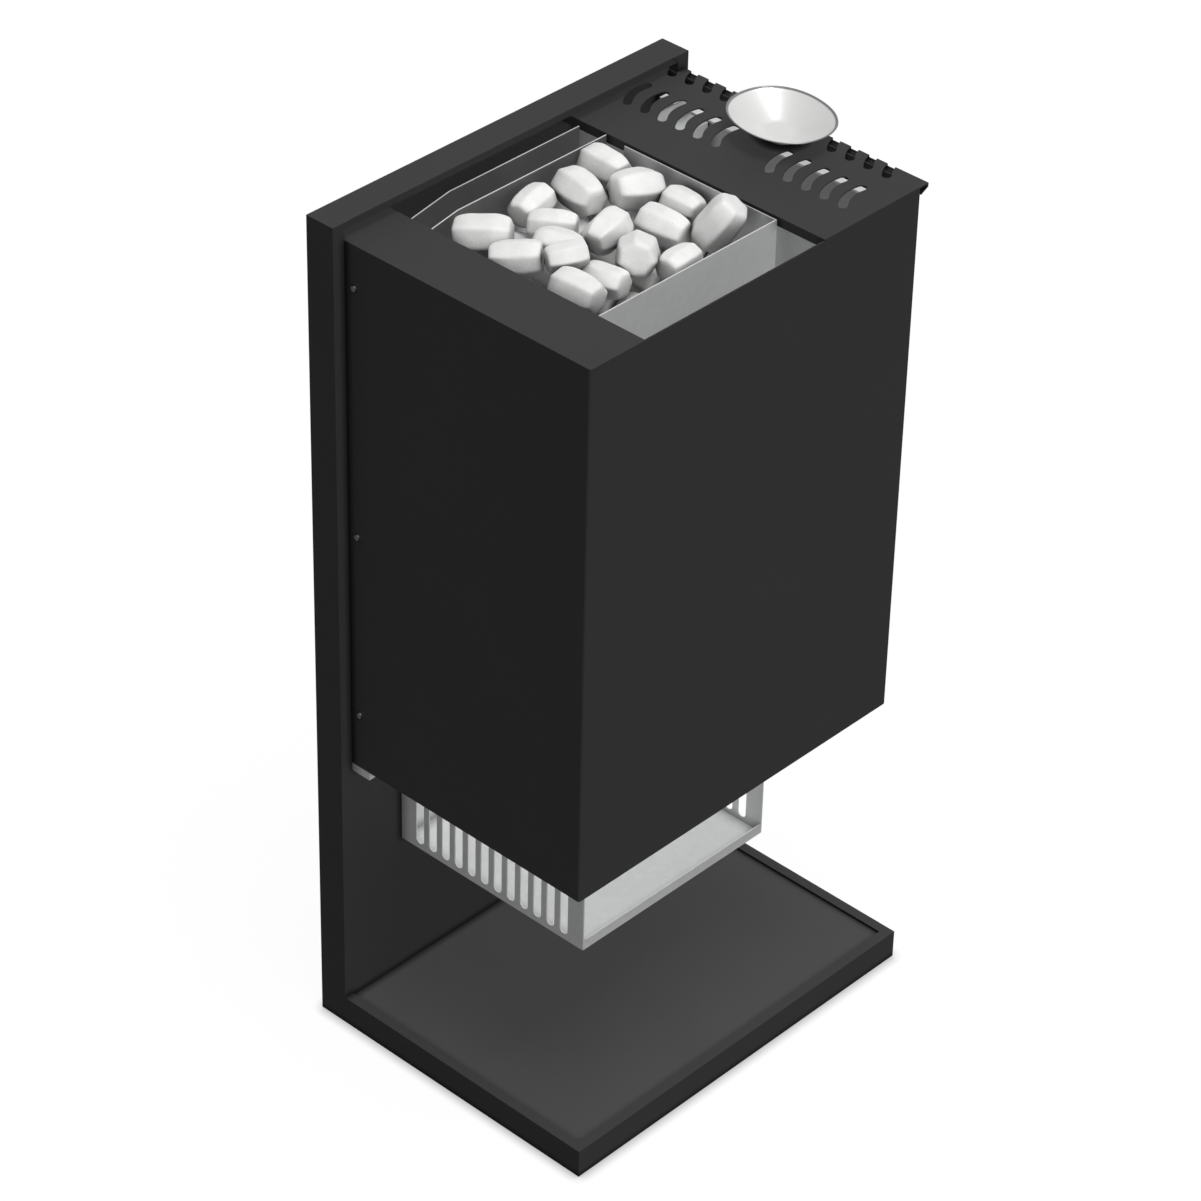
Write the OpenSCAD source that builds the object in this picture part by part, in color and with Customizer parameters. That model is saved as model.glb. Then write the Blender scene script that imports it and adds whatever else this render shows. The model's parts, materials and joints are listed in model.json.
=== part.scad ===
// Floor-standing electric sauna heater with an open stone pile, a steam evaporator and an aroma bowl.
// Millimetres. X to the right, Y towards the wall, Z up. The origin is the middle of the stand's underside.

/* [Stand] */
// Width of the floor stand
stand_w = 510; // [506:2:560]
// Height of the stand's back panel
stand_h = 1010; // [960:10:1200]
// Depth of the stand, from its front edge to the wall
stand_d = 390; // [384:2:460]
// Depth of the folded back panel
panel_d = 37; // [34:1:40]
// Height of the base tray
base_h = 35; // [30:1:60]
// Thickness of the stand's sheet
stand_sheet = 2; // [1.5:0.5:3]
// Width of the lip folded round the top of the base tray
base_lip_w = 12; // [8:1:20]
// How far the floor plate lies below that lip
plate_drop = 3.5; // [2.5:0.5:6]

/* [Casing] */
// Width of the heater casing
casing_w = 478; // [470:2:480]
// Height of the heater casing
casing_h = 640; // [600:10:700]
// Gap between the casing's back and the wall
casing_wall_gap = 9; // [9:0.5:13]
// Thickness of the casing sheet
casing_sheet = 1.5; // [1:0.5:2]
// How far the casing's top lies below the top of the stand
casing_drop = 20; // [16:1:40]
// How far the casing's front lies behind the front edge of the base
front_setback = 23; // [22:1:26]
// Width of the flange along the casing's top left edge
left_flange_w = 75; // [60:1:78]
// Radius of the folded vertical corners
corner_r = 3; // [2.5:0.5:6]

/* [Steam cover] */
// How far the steam cover overhangs the casing on the right
cover_overhang = 11; // [6:1:15]
// Height of the cover's lip beside the stones
cover_lip_h = 9; // [6:1:14]
// Width of one curved steam slot
slot_w = 10; // [7:1:12]
// Radius of a slot's centre line
slot_r = 45; // [40:1:55]
// Distance from one slot to the next
slot_pitch = 24.3; // [22:0.1:28]

/* [Stone box] */
// Gap between the casing's left side and the stone box
left_gap = 73; // [60:1:78]
// Gap between the casing's front and the stone box
front_gap = 61.5; // [50:0.5:70]
// Gap between the stone box and the casing's back
rear_gap = 75.5; // [74:0.5:80]
// Width of the steam compartment on the right
steam_w = 127.5; // [124:0.5:140]
// Air gap between the stone box and the steam compartment
box_side_gap = 19.5; // [14:0.5:24]
// Thickness of the galvanised sheet
inner_sheet = 1.5; // [1:0.5:2]
// Layers of stones below the top one
stone_layers = 4; // [3:1:5]
// How far the pile stands above the stone box
stone_rise = 10; // [4:1:12]

/* [Air inlet tray] */
// How far the tray hangs below the casing
tray_drop = 140; // [110:5:160]
// Width of one tray slot
tray_slot_w = 11.6; // [8:0.2:13]
// Number of slots in each side of the tray
tray_slots = 12; // [8:1:14]

/* [Heating elements] */
// Diameter of the tubular heating elements
element_d = 8; // [6:0.5:8.5]
// Radius of the arch at the top of an element
element_arch_r = 50; // [40:1:56]

/* [Evaporator] */
// Height of the water tank
tank_h = 175; // [150:5:200]
// Height of the tank shelf above the casing's underside
shelf_rise = 390; // [370:5:400]
// Travel of the level float
float_travel = 70; // [40:5:75]
// Outer diameter of the drain pipe
drain_d = 15; // [12:1:16]

/* [Aroma bowl] */
// Length of the oval bowl
bowl_l = 123; // [100:2:140]
// Width of the oval bowl
bowl_w = 103; // [80:1:110]
// Height of the bowl
bowl_h = 25; // [20:1:40]

/* [Hidden] */

// Curves and clearances
$fn = 48;
over = 1;            // how far a cut runs past the face that it opens
clear = 0.3;         // between loose neighbours
run_clear = 0.05;    // radial, for a shaft that turns or slides in its hole
hole_clear = 0.2;    // radial, round a screw's shank

// Colours
black_paint = "#2c2c2d";
zinc = "#b9bcbd";
heat_blued = "#4b4a4c";
stainless = "#c9cacb";
brass = "#b89a55";
stone_grey = "#d2d0cc";
ceramic = "#eae6da";

// Stand, worked out
sx = stand_w / 2;
front_y = -stand_d / 2;
wall_y = stand_d / 2;
panel_y = wall_y - panel_d;
st = stand_sheet;
plate_z = base_h - plate_drop;
top_setback = 0.5;        // the top fold's cut edge stands this far behind the front lips
gusset = 8;               // corner between a lip and the top fold
rail_w = 40;
rail_inset = 90;
stand_bolt_d = 8;
stand_bolt_z = 16;
stand_bolt_shares = [-0.36, -0.16, 0.16, 0.36];   // of the stand's width
bolt_head_af = 13;
bolt_head_h = 5.3;
bolt_nut_h = 6.5;

// Casing, worked out
t = casing_sheet;
cx = casing_w / 2;
casing_d = stand_d - front_setback - casing_wall_gap;
cf = front_y + front_setback;
cb = cf + casing_d;
top_z = stand_h - casing_drop;
bot_z = top_z - casing_h;
plate_top = bot_z + 2 * t;                        // upper face of the casing's bottom plate
casing_lip = 15;
rear_stop = 2;                                    // covers end this far before the casing's back
back_flange = 51;
back_top_drop = 5;
casing_screw_inset = 40.5;                        // in front of the casing's back
casing_screw_shares = [0.108, 0.461, 0.923];      // of the casing's height
screw_d = 3.5;
screw_head_d = 6;
screw_head_h = 2;
screw_l = 8;
spacer_h = 11;
spacer_w = 14;
spacer_front = 24.5;                              // reach in front of the panel
spacer_back = 7.5;                                // reach behind the panel's front

// Where the heater passes into the stand's back panel
open_x = cx + 2 * clear;
open_z = bot_z - spacer_h;

// Hanging rail and hooks between the casing and the stand
hang_sheet = 1.5;
hang_l_share = 0.75;                              // of the casing's width
hang_z = top_z - 110;
hang_plate_h = 50;
hang_lip_h = 15;
hang_lip_gap = 2;                                 // casing's back to the rail's lip
hook_w = 40;
hook_x_share = 0.3;                               // of the casing's width
hook_h = 40;
hook_lip_h = 14;
hang_screw_d = 5;
hang_screw_head_d = 9;
hang_screw_head_h = 2;
hang_screw_shares = [-0.32, -0.12, 0.12, 0.32];   // of the casing's width

// Stone box, worked out
g = inner_sheet;
part_x = cx - steam_w;                            // left face of the partition
box_x0 = -cx + left_gap;
box_x1 = part_x - box_side_gap;
box_y0 = cf + front_gap;
box_y1 = cb - rear_gap;
box_top = top_z - t;
box_rear_drop = 35;                               // the rear wall's top below the other walls
box_notch_l = 16;                                 // stretch of the right wall that steps down
box_flange = 12;
in_x0 = box_x0 + g;
in_x1 = box_x1 - g;
in_y0 = box_y0 + g;
in_y1 = box_y1 - g;
in_w = in_x1 - in_x0;
in_d = in_y1 - in_y0;

// Stones: four across and four deep, sized from the room that one of them has. The laid ones below are as
// thick as their column allows and as long as their row; the loose ones on top go by the smaller of the two
stones_across = 4;
cell_x = in_w / stones_across;
cell_y = in_d / stones_across;
cell = min(cell_x, cell_y);
stone_l = cell * 1.02;
stone_d = cell * 0.8;
low_stone_l = cell_y * 0.95;
low_stone_d = cell_x * 0.684;
low_stone_turn = 112 * (cell_y - low_stone_l) / low_stone_d;    // degrees, so the blunt ends stay clear
stone_pitch = low_stone_d * 1.01;
stone_cap_share = 0.6;                            // of the diameter, at a stone's flat end
stone_barrel_share = 0.42;                        // of the length, at full diameter
grate_z = box_top + stone_rise - stone_d - stone_layers * stone_pitch;
bar_d = 6;
bars = 9;
grate_rim = 8;
ledge_w = 14;
ledge_h = 16;
// Top stones: share of the box's width, share of its depth, rise in stone diameters, turn, tilt and size
top_stones = [
    [0.16, 0.88, 0.55, -55,   5, 1.05], [0.50, 0.96, 0.35,   10,  5, 0.85], [0.69, 0.87, 0.45, -100,  0, 1.00],
    [0.89, 0.93, 0.47, -90,   0, 0.95], [0.44, 0.76, 0.34,  -55,  0, 0.90], [0.84, 0.68, 0.54,  -15, -10, 1.00],
    [0.14, 0.65, 0.49, -50,   5, 0.95], [0.33, 0.60, 0.43,  -70,  0, 0.90], [0.52, 0.51, 0.56,   10,  5, 0.95],
    [0.92, 0.47, 0.35, -90,   0, 0.80], [0.76, 0.42, 0.26,  -80, -5, 0.95], [0.23, 0.44, 0.77,  -30,  5, 0.75],
    [0.14, 0.27, 0.46, -85,   0, 0.95], [0.30, 0.28, 0.31,  -80,  5, 0.85], [0.48, 0.28, 0.53,  220, 20, 1.00],
    [0.58, 0.13, 0.40,   5,   0, 0.80], [0.87, 0.20, 0.58,  -50, 55, 1.00]];

// Rear shields
blued_sheet = 1.2;
shield_clear = 10.5;                              // stone box to the first shield
shield_y = box_y1 + shield_clear;
shield_gap = 31.5;
shield_bend = 10;
inner_bend_x = box_x0 + 46;
outer_bend_x = box_x0 + 66;
inner_shield_x1 = box_x1 + over - clear;
outer_shield_x1 = box_x1 - 6;
shield_x0 = box_x0 - 6;
spacer_tube_d = 12;
shield_bolt_d = 6;
shield_head_af = 10;
shield_head_h = 3;
shield_nut_h = 5;
shield_bolt_x_shares = [0.3, 0.86];               // of the stone box's width
shield_bolt_z_shares = [0.16, 0.9];               // of the casing's height

// Side shields
side_shield_y0 = cf + 12;
side_shield_y1 = cb - 16;
left_standoff = 31.5;
right_standoff = 10.3;
side_shield_drop = 28;
standoff_d = 10;
standoff_y_shares = [0.15, 0.8];                  // of the casing's depth
standoff_z_shares = [0.12, 0.88];                 // of the casing's height

// Air inlet tray
tray_x0 = box_x0 - 2;
tray_x1 = part_x + g;
tray_front = 2.5;                                 // the tray reaches this far in front of the box
tray_y0 = box_y0 - tray_front;
tray_y1 = panel_y - over;
tray_z = bot_z - tray_drop;
tray_lip_h = 12;
tray_flange = 10;
tray_slot_foot = 7;
tray_slot_head = 15;
tray_slot_edge = 22.3;
tray_pitch = (tray_y1 - tray_y0 - 2 * tray_slot_edge - tray_slot_w) / (tray_slots - 1);
tray_screw_shares = [0.1, 0.5, 0.9];              // of the tray's depth

// Heating elements: one in each gap between the columns of stones
element_names_x = [for (i = [1:3]) in_x0 + i * cell_x];
element_mid_y = in_y0 + in_d / 2;
element_cover = 14;                               // depth of an element's arch below the layers' top
element_top = grate_z + stone_layers * stone_pitch - element_cover;
element_bend_r = 20;
element_run_h = 77;                               // first element's run above the bottom plate
element_run_step = 25;
element_run_z = [for (i = [0:2]) plate_top + element_run_h + element_run_step * i];
element_end = 38;                                 // reach into the steam compartment
element_end_x = part_x + element_end;
collar_d = 12;
collar_in = 8;
collar_out = 14;
pin_d = 3.5;
pin_l = 14;
nut_af = 19;
nut_h = 6;

// Steam cover
cover_x0 = box_x1 + over;
cover_x1 = cx + cover_overhang;
cover_edge_h = 3;                                 // the edge's upright part, below the casing's top
cover_fold = cover_overhang - clear;              // reach of the return folded in under the edge
cover_fold_drop = cover_fold / 2;
cover_back = wall_y - st - over;
slot_bite = 1;
slot_from = 76;                                   // the arc's right end, degrees
slot_to = 131;                                    // the arc's left end, degrees
slot_first = 30.5;                                // first slot's left end behind the casing's front
slot_row_x = 91;
slot_x = cover_x0 + slot_row_x;                   // centre of the first row's arcs
slot_row = 76;
slot_row_shift = 8;
slot_count = 14;
inner_row_gaps = [5, 6];
outer_row_gaps = [4, 5, 6, 7, 8];

// Evaporator
steam_x0 = part_x + g;
shield_x = cx - t - right_standoff - blued_sheet;
shelf_z = bot_z + shelf_rise;
tank_sheet = 1.2;
tank_left_gap = 9;
tank_right_gap = 4;
tank_front_gap = 12;
tank_rear_gap = 102;
tank_x0 = steam_x0 + tank_left_gap;
tank_x1 = shield_x - tank_right_gap;
tank_y0 = cf + tank_front_gap;
tank_y1 = cb - tank_rear_gap;
tank_z = shelf_z;
gusset_h = 46;
shelf_x1 = shield_x - 2;
shelf_screw_shares = [0.15, 0.85];                // of the tank's depth
heater_d = 8.5;
heater_inset = 50;
heater_x = tank_x0 + heater_inset;
heater_half = 12;
heater_h = 30;
heater_z = tank_z + heater_h;
heater_end = 50;                                  // clear of the tank's front wall
gasket_h = 2;
gasket_d = 46;
stub_d = 32;
hex_af = 40;
hex_h = 8;
stem_x = heater_x;
stem_inset = 50;
stem_y = tank_y1 - stem_inset;
stem_d = 8;
stem_foot_d = 16;
stem_foot_h = 2;
stem_collar_h = 4;
stem_collar_d = 14;
float_d = 32;
float_h = 26;
float_rest_h = 60;                                // lowest place of the float above the tank's floor
float_z = tank_z + float_rest_h;
clip_h = 1.5;
stem_h = float_z - tank_z + float_h + float_travel + 4 * clip_h;
clip_d = 16;

// Drain
drain_inset = 30;
drain_forward = 27;                               // in front of the casing's middle
drain_x = tank_x1 - drain_inset;
drain_y = (cf + cb) / 2 - drain_forward;
drain_wall = 1;
drain_flange_d = 24;
drain_flange_h = 1.8;
pipe_below = 19;                                  // these four are depths below the casing
valve_top_below = 8;
valve_below = 34;
valve_bottom_below = 58;
pipe_bottom = bot_z - pipe_below;
valve_top = bot_z - valve_top_below;
valve_z = bot_z - valve_below;
valve_bottom = bot_z - valve_bottom_below;
valve_d = 22;
valve_cross_d = 25;
valve_cross_l = 30;
valve_bore_d = 9;
plug_d = 16;
plug_end = 5;
plug_end_d = 9;
lever_t = 4;
lever_l = 50;
lever_w = 12;
plug_nut_h = 4;
plug_nut_af = 17;
tail_hex_af = 22;
tail_hex_h = 6;
tail_d = 13;
tail_l = 26;
tail_bore = 9;

// Electrics
box_wall = 1.2;
tbox_side = 2;
tbox_front_gap = 16;
tbox_rear_gap = 58.5;
tbox_rise = 290;
tbox_drop = 28;
tbox_upstand_h = 20;                              // keeps the steam off what is behind the box
tbox_upstand_back = 24;                           // behind the box's front
tbox_x0 = tank_x0 - tbox_side;
tbox_x1 = tank_x1;
tbox_y0 = tank_y1 + tbox_front_gap;
tbox_y1 = cb - t - tbox_rear_gap;
tbox_z0 = bot_z + tbox_rise;
tbox_z1 = top_z - tbox_drop;
tbox_boss_d = 10;
tbox_boss_shares = [0.2, 0.8];                    // of the terminal box's height
cover_screw_d = 3;
cover_screw_head_d = 6;
cover_screw_head_h = 1.8;
cover_screw_l = 6;
cover_screw_inset = 8;
tbox_lip = 14;
block_l = 70;
block_h = 26;
block_d = 18;
block_ways = 5;
block_hole_d = 5;
block_screw_d = 4;
conduit_inset = 22;
conduit_back = 13;
conduit_x = tank_x1 - conduit_inset;
conduit_y = tbox_y0 + conduit_back;
conduit_d = 18;
conduit_bore = 14;
gland_d = 25;
gland_af = 33;
gland_hex_h = 8;
gland_dome_h = 12;
gland_dome_d = 28;
gland_bore = 14;
locknut_af = 32;
locknut_h = 5;
cutout_inset = 37;
cutout_x = steam_x0 + cutout_inset;
cutout_w = 30;
cutout_h = 36;
cutout_room_d = 13;
cutout_room_z = 5;
cutout_room_h = 9;
button_d = 8;
button_collar_d = 12;
button_collar_h = 3;
button_out = 8;
button_up = 18;
sensor_d = 5;
sensor_l = 80;
sensor_h = 530;
sensor_z = bot_z + sensor_h;
capillary_d = 2;
sensor_y = shield_y + blued_sheet + shield_gap / 2;
sensor_rise = 10;
sensor_side = 3;
sensor_x = steam_x0 + sensor_side;
sensor_inset = 32;                                // the bulb's end, inside the stone box's width

// Bowl
bowl_inset = 35;                                  // from the cover's right edge to the bowl's middle
bowl_back = 166;                                  // from the casing's front to the bowl's middle
bowl_x = cover_x1 - bowl_inset;
bowl_y = cf + bowl_back;
bowl_turn = -10;
bowl_wall = 1.6;
bowl_foot_share = 0.33;
bowl_foot_h = 3;
bowl_steps = 6;
bowl_curve = 1.15;                                // 1 is a plain cone, more curves the side upwards

// A block between two opposite corners
module block(a, b) {
    translate(a) cube(b - a);
}

// A hexagonal prism, measured across its flats
module hex(af, h) {
    cylinder(d = af / cos(30), h = h, $fn = 6);
}

// A pan-head screw: its head stands on Z = 0 and its shank hangs below
module pan_screw(head_d, head_h, d, l) {
    cylinder(d = head_d, h = head_h);
    translate([0, 0, -l]) cylinder(d = d, h = l);
}

// Points its child along another axis: the child's Z becomes +X, -X, +Y or -Y
module to_right() { rotate([0, 90, 0]) children(); }
module to_left() { rotate([0, -90, 0]) children(); }
module to_back() { rotate([-90, 0, 0]) children(); }
module to_front() { rotate([90, 0, 0]) children(); }

// The outline of the casing from above, with its front corners rounded
module casing_outline(inset, back) {
    r = corner_r - inset;
    x = cx - inset;
    y = cf + inset;
    translate([-x, y + r]) square([2 * x, back - y - r]);
    translate([-x + r, y]) square([2 * (x - r), 2 * r]);
    for (s = [-1, 1]) translate([s * (x - r), y + r]) circle(r);
}

// Floor stand

module stand_back_panel() {
    color(black_paint) difference() {
        block([-sx, panel_y, 0], [sx, wall_y, stand_h]);
        block([-sx + st, panel_y + st, st], [sx - st, wall_y - st, stand_h - st]);
        // the opening that the heater's back passes through
        block([-open_x, panel_y - over, open_z], [open_x, panel_y + st + over, stand_h - gusset]);
        // the top fold's front edge, with a gusset at each end
        linear_extrude_y(panel_y - over, panel_y + top_setback)
            polygon([[-open_x, stand_h - st - gusset - over], [-open_x, stand_h - gusset],
                     [-open_x + gusset, stand_h + over], [open_x - gusset, stand_h + over],
                     [open_x, stand_h - gusset], [open_x, stand_h - st - gusset - over]]);
        for (s = stand_bolt_shares) translate([s * stand_w, panel_y - over, stand_bolt_z])
            to_back() cylinder(d = stand_bolt_d + 2 * hole_clear, h = st + 2 * over);
        for (s = hang_screw_shares) translate([s * casing_w, wall_y - st - over, hang_z + hang_plate_h / 2])
            to_back() cylinder(d = hang_screw_d + 2 * hole_clear, h = st + 2 * over);
    }
}

// Extrudes an outline drawn in X and Z from y0 to y1
module linear_extrude_y(y0, y1) {
    translate([0, y1, 0]) rotate([90, 0, 0]) linear_extrude(y1 - y0) children();
}

module stand_base_tray() {
    color(black_paint) difference() {
        block([-sx, front_y, 0], [sx, panel_y, base_h]);
        block([-sx + st, front_y + st, st], [sx - st, panel_y - st, base_h - st]);
        block([-sx + base_lip_w, front_y + base_lip_w, base_h - st - over],
              [sx - base_lip_w, panel_y - st, base_h + over]);
        // the floor plate runs back over the rear wall
        block([-sx + st, panel_y - st - over, plate_z - st], [sx - st, panel_y + over, base_h - st]);
        block([-sx + base_lip_w, panel_y - st - over, plate_z - st],
              [sx - base_lip_w, panel_y + over, base_h + over]);
        for (s = stand_bolt_shares) translate([s * stand_w, panel_y - st - over, stand_bolt_z])
            to_back() cylinder(d = stand_bolt_d + 2 * hole_clear, h = st + 2 * over);
    }
}

module stand_floor_plate() {
    color(black_paint)
        block([-sx + st + clear, front_y + st + clear, plate_z - st], [sx - st - clear, panel_y, plate_z]);
}

module stand_rails() {
    color(zinc) for (y = [front_y + rail_inset, panel_y - rail_inset]) difference() {
        block([-sx + st, y - rail_w / 2, st], [sx - st, y + rail_w / 2, plate_z - st]);
        block([-sx, y - rail_w / 2 + st, 2 * st], [sx, y + rail_w / 2 - st, plate_z - 2 * st]);
    }
}

module stand_bolts() {
    color(zinc) for (s = stand_bolt_shares) translate([s * stand_w, panel_y, stand_bolt_z]) {
        translate([0, st, 0]) to_back() hex(bolt_head_af, bolt_head_h);
        translate([0, st, 0]) to_front() cylinder(d = stand_bolt_d, h = 2 * st + bolt_nut_h + over);
        translate([0, -st, 0]) to_front() hex(bolt_head_af, bolt_nut_h);
    }
}

// How the heater hangs in the stand

module hanging_rail() {
    x = casing_w * hang_l_share / 2;
    back = wall_y - st;
    lip_y = cb + hang_lip_gap;
    color(zinc) difference() {
        union() {
            block([-x, back - hang_sheet, hang_z], [x, back, hang_z + hang_plate_h]);
            block([-x, lip_y, hang_z + hang_plate_h - hang_sheet], [x, back, hang_z + hang_plate_h]);
            block([-x, lip_y, hang_z + hang_plate_h - hang_sheet],
                  [x, lip_y + hang_sheet, hang_z + hang_plate_h + hang_lip_h]);
        }
        for (s = hang_screw_shares) translate([s * casing_w, back - hang_sheet - over, hang_z + hang_plate_h / 2])
            to_back() cylinder(d = hang_screw_d + 2 * hole_clear, h = hang_sheet + 2 * over);
    }
}

module hanging_rail_screws() {
    back = wall_y - st - hang_sheet;
    color(zinc) for (s = hang_screw_shares) translate([s * casing_w, back, hang_z + hang_plate_h / 2])
        to_front() pan_screw(hang_screw_head_d, hang_screw_head_h, hang_screw_d, hang_sheet + st);
}

module hanger_hooks() {
    seat = hang_z + hang_plate_h + hang_lip_h;
    lip_y = cb + hang_lip_gap + hang_sheet + clear;
    color(zinc) for (s = [-1, 1]) {
        x = s * hook_x_share * casing_w - hook_w / 2;
        block([x, cb, seat - hook_h], [x + hook_w, cb + hang_sheet, seat + hang_sheet]);
        block([x, cb, seat], [x + hook_w, lip_y + hang_sheet, seat + hang_sheet]);
        block([x, lip_y, seat - hook_lip_h + over], [x + hook_w, lip_y + hang_sheet, seat + hang_sheet]);
    }
}

// Casing

module back_plate() {
    x = cx - t;
    color(black_paint) difference() {
        union() {
            block([-x, cb - t, plate_top], [x, cb, top_z - back_top_drop]);
            for (s = [-1, 1]) block([min(s * x, s * (x - t)), cb - back_flange, plate_top],
                                    [max(s * x, s * (x - t)), cb, top_z - back_top_drop]);
        }
        for (s = [-1, 1], h = casing_screw_shares)
            translate([s * (x - t / 2) - t, cb - casing_screw_inset, bot_z + h * casing_h])
                to_right() cylinder(d = screw_d + 2 * hole_clear, h = 2 * t);
        for (p = shield_bolts()) translate([p[0], cb - t - over, p[1]])
            to_back() cylinder(d = shield_bolt_d + 2 * hole_clear, h = t + 2 * over);
    }
}

module outer_casing() {
    color(black_paint) difference() {
        union() {
            translate([0, 0, bot_z]) linear_extrude(casing_h) difference() {
                casing_outline(0, cb);
                casing_outline(t, cb + over);
            }
            // the lip round the underside
            translate([0, 0, bot_z]) linear_extrude(t) difference() {
                casing_outline(0, cb);
                translate([-cx + casing_lip, cf + casing_lip])
                    square([2 * (cx - casing_lip), casing_d]);
            }
            // the top flange on the left
            translate([0, 0, top_z - t]) linear_extrude(t) intersection() {
                casing_outline(0, cb - rear_stop);
                translate([-cx, cf]) square([left_flange_w, casing_d]);
            }
        }
        for (s = [-1, 1], h = casing_screw_shares)
            translate([s * (cx - t / 2) - t, cb - casing_screw_inset, bot_z + h * casing_h])
                to_right() cylinder(d = screw_d + 2 * hole_clear, h = 2 * t);
    }
}

module casing_screws() {
    color(stainless) for (h = casing_screw_shares) {
        translate([-cx, cb - casing_screw_inset, bot_z + h * casing_h])
            to_left() pan_screw(screw_head_d, screw_head_h, screw_d, screw_l);
        translate([cx, cb - casing_screw_inset, bot_z + h * casing_h])
            to_right() pan_screw(screw_head_d, screw_head_h, screw_d, screw_l);
    }
}

module bottom_plate() {
    color(zinc) difference() {
        translate([0, 0, bot_z + t]) linear_extrude(t) casing_outline(t + clear, cb - t - clear);
        block([tray_x0 + g, tray_y0 + g, bot_z], [tray_x1 - g, tray_y1 - g, plate_top + over]);
        for (p = tray_screw_points()) translate([p[0], p[1], bot_z])
            cylinder(d = screw_d + 2 * hole_clear, h = 3 * t);
        translate([drain_x, drain_y, bot_z]) cylinder(d = drain_d + 2 * clear, h = 3 * t);
        translate([conduit_x, conduit_y, bot_z]) cylinder(d = gland_d + 2 * hole_clear, h = 3 * t);
        translate([cutout_x, sensor_y, bot_z]) cylinder(d = button_d + 2 * clear, h = 3 * t);
    }
}

module lower_spacers() {
    color(zinc) for (s = [-1, 1]) {
        x = s * (cx - over - spacer_w / 2);
        difference() {
            block([x - spacer_w / 2, panel_y - spacer_front, open_z],
                  [x + spacer_w / 2, panel_y + spacer_back, bot_z]);
            block([x - spacer_w / 2 + g, panel_y - spacer_front + g, open_z + g],
                  [x + spacer_w / 2 - g, panel_y + spacer_back + over, bot_z - g]);
        }
    }
}

// One curved steam slot, cut through a sheet of thickness h
module steam_slot(h) {
    w = slot_w / 2;
    step = (slot_to - slot_from) / 6;
    translate([0, -slot_r * sin(slot_to), 0]) linear_extrude(h) polygon([
        for (a = [0:6]) (slot_r + w) * unit(slot_from + a * step),
        for (a = [30:30:150]) slot_r * unit(slot_to) + w * unit(slot_to + a),
        for (a = [6:-1:0]) (slot_r - w) * unit(slot_from + a * step),
        for (a = [210:30:330]) slot_r * unit(slot_from) + w * unit(slot_from + a)]);
}

function unit(a) = [cos(a), sin(a)];

function is_in(v, list) = len([for (a = list) if (a == v) a]) > 0;

module steam_cover() {
    first_y = cf + slot_first;
    reach = slot_r * (1 - sin(slot_to)) + slot_w / 2;   // from a slot's left end back to its crown
    color(black_paint) difference() {
        union() {
            block([cover_x0, cf, top_z], [cover_x1, cover_back, top_z + t]);
            block([cover_x0, cf + t + clear, top_z - cover_lip_h], [cover_x0 + t, cb - rear_stop, top_z + t]);
            block([cover_x1 - t, cf, top_z - cover_edge_h], [cover_x1, cover_back, top_z + t]);
            // the edge's return, folded in and down to the casing's side
            translate([0, 0, top_z - cover_edge_h]) linear_extrude_y(cf, cover_back)
                polygon([[cover_x1, 0], [cover_x1, t], [cover_x1 - t, t / 2],
                         [cover_x1 - cover_fold, t - cover_fold_drop], [cover_x1 - cover_fold, -cover_fold_drop]]);
        }
        // the overhang stops in front of the stand's lip
        block([cx, panel_y - clear, top_z - cover_edge_h - cover_fold - over],
              [cover_x1 + over, wall_y, top_z + t + over]);
        for (k = [0:slot_count - 1]) {
            y = first_y + k * slot_pitch;
            if (!is_in(k, inner_row_gaps) && y + reach < cover_back)
                translate([slot_x, y, top_z - over]) steam_slot(t + 2 * over);
            // the outer row runs over the edge and bites into the cover's side
            if (!is_in(k, outer_row_gaps) && y + slot_row_shift + reach < cover_back)
                translate([slot_x + slot_row, y + slot_row_shift, top_z - slot_bite])
                    steam_slot(t + slot_bite + over);
        }
    }
}

// Stone box, grate and stones

module partition_wall() {
    color(zinc) difference() {
        union() {
            block([part_x, cf + t + clear, plate_top], [part_x + g, cb - t - clear, top_z]);
            for (z = [plate_top, top_z - g])
                block([part_x, cf + t + clear, z], [part_x + box_flange, cb - t - clear, z + g]);
        }
        for (z = element_run_z, s = [-1, 1])
            translate([part_x - over, element_mid_y + s * element_arch_r, z])
                to_right() cylinder(d = collar_d + 2 * hole_clear, h = g + 2 * over);
        for (s = shelf_screw_shares)
            translate([part_x - over, tank_y0 + s * (tank_y1 - tank_y0), shelf_z - gusset_h / 2])
                to_right() cylinder(d = screw_d + 2 * hole_clear, h = g + 2 * over);
        translate([part_x - over, sensor_y, sensor_z])
            to_right() cylinder(d = sensor_d + 2 * clear, h = g + 2 * over);
        tray_screw_holes();
    }
}

module stone_box() {
    color(zinc) difference() {
        union() {
            difference() {
                block([box_x0, box_y0, plate_top], [box_x1, box_y1, box_top]);
                block([in_x0, in_y0, plate_top - over], [in_x1, in_y1, box_top + over]);
                block([in_x0, in_y1 - over, box_top - box_rear_drop], [in_x1, box_y1 + over, box_top + over]);
                block([in_x1 - over, box_y1 - box_notch_l, box_top - box_rear_drop],
                      [box_x1 + over, box_y1 + over, box_top + over]);
            }
            block([box_x0 - box_flange, box_y0, plate_top], [box_x0 + g, box_y1, plate_top + g]);
            block([box_x0, box_y0 - box_flange, plate_top], [box_x1, box_y0 + g, plate_top + g]);
        }
        for (z = element_run_z, s = [-1, 1])
            translate([in_x1 - over, element_mid_y + s * element_arch_r, z])
                to_right() cylinder(d = element_d + 4 * clear, h = g + 2 * over);
        tray_screw_holes();
    }
}

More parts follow.
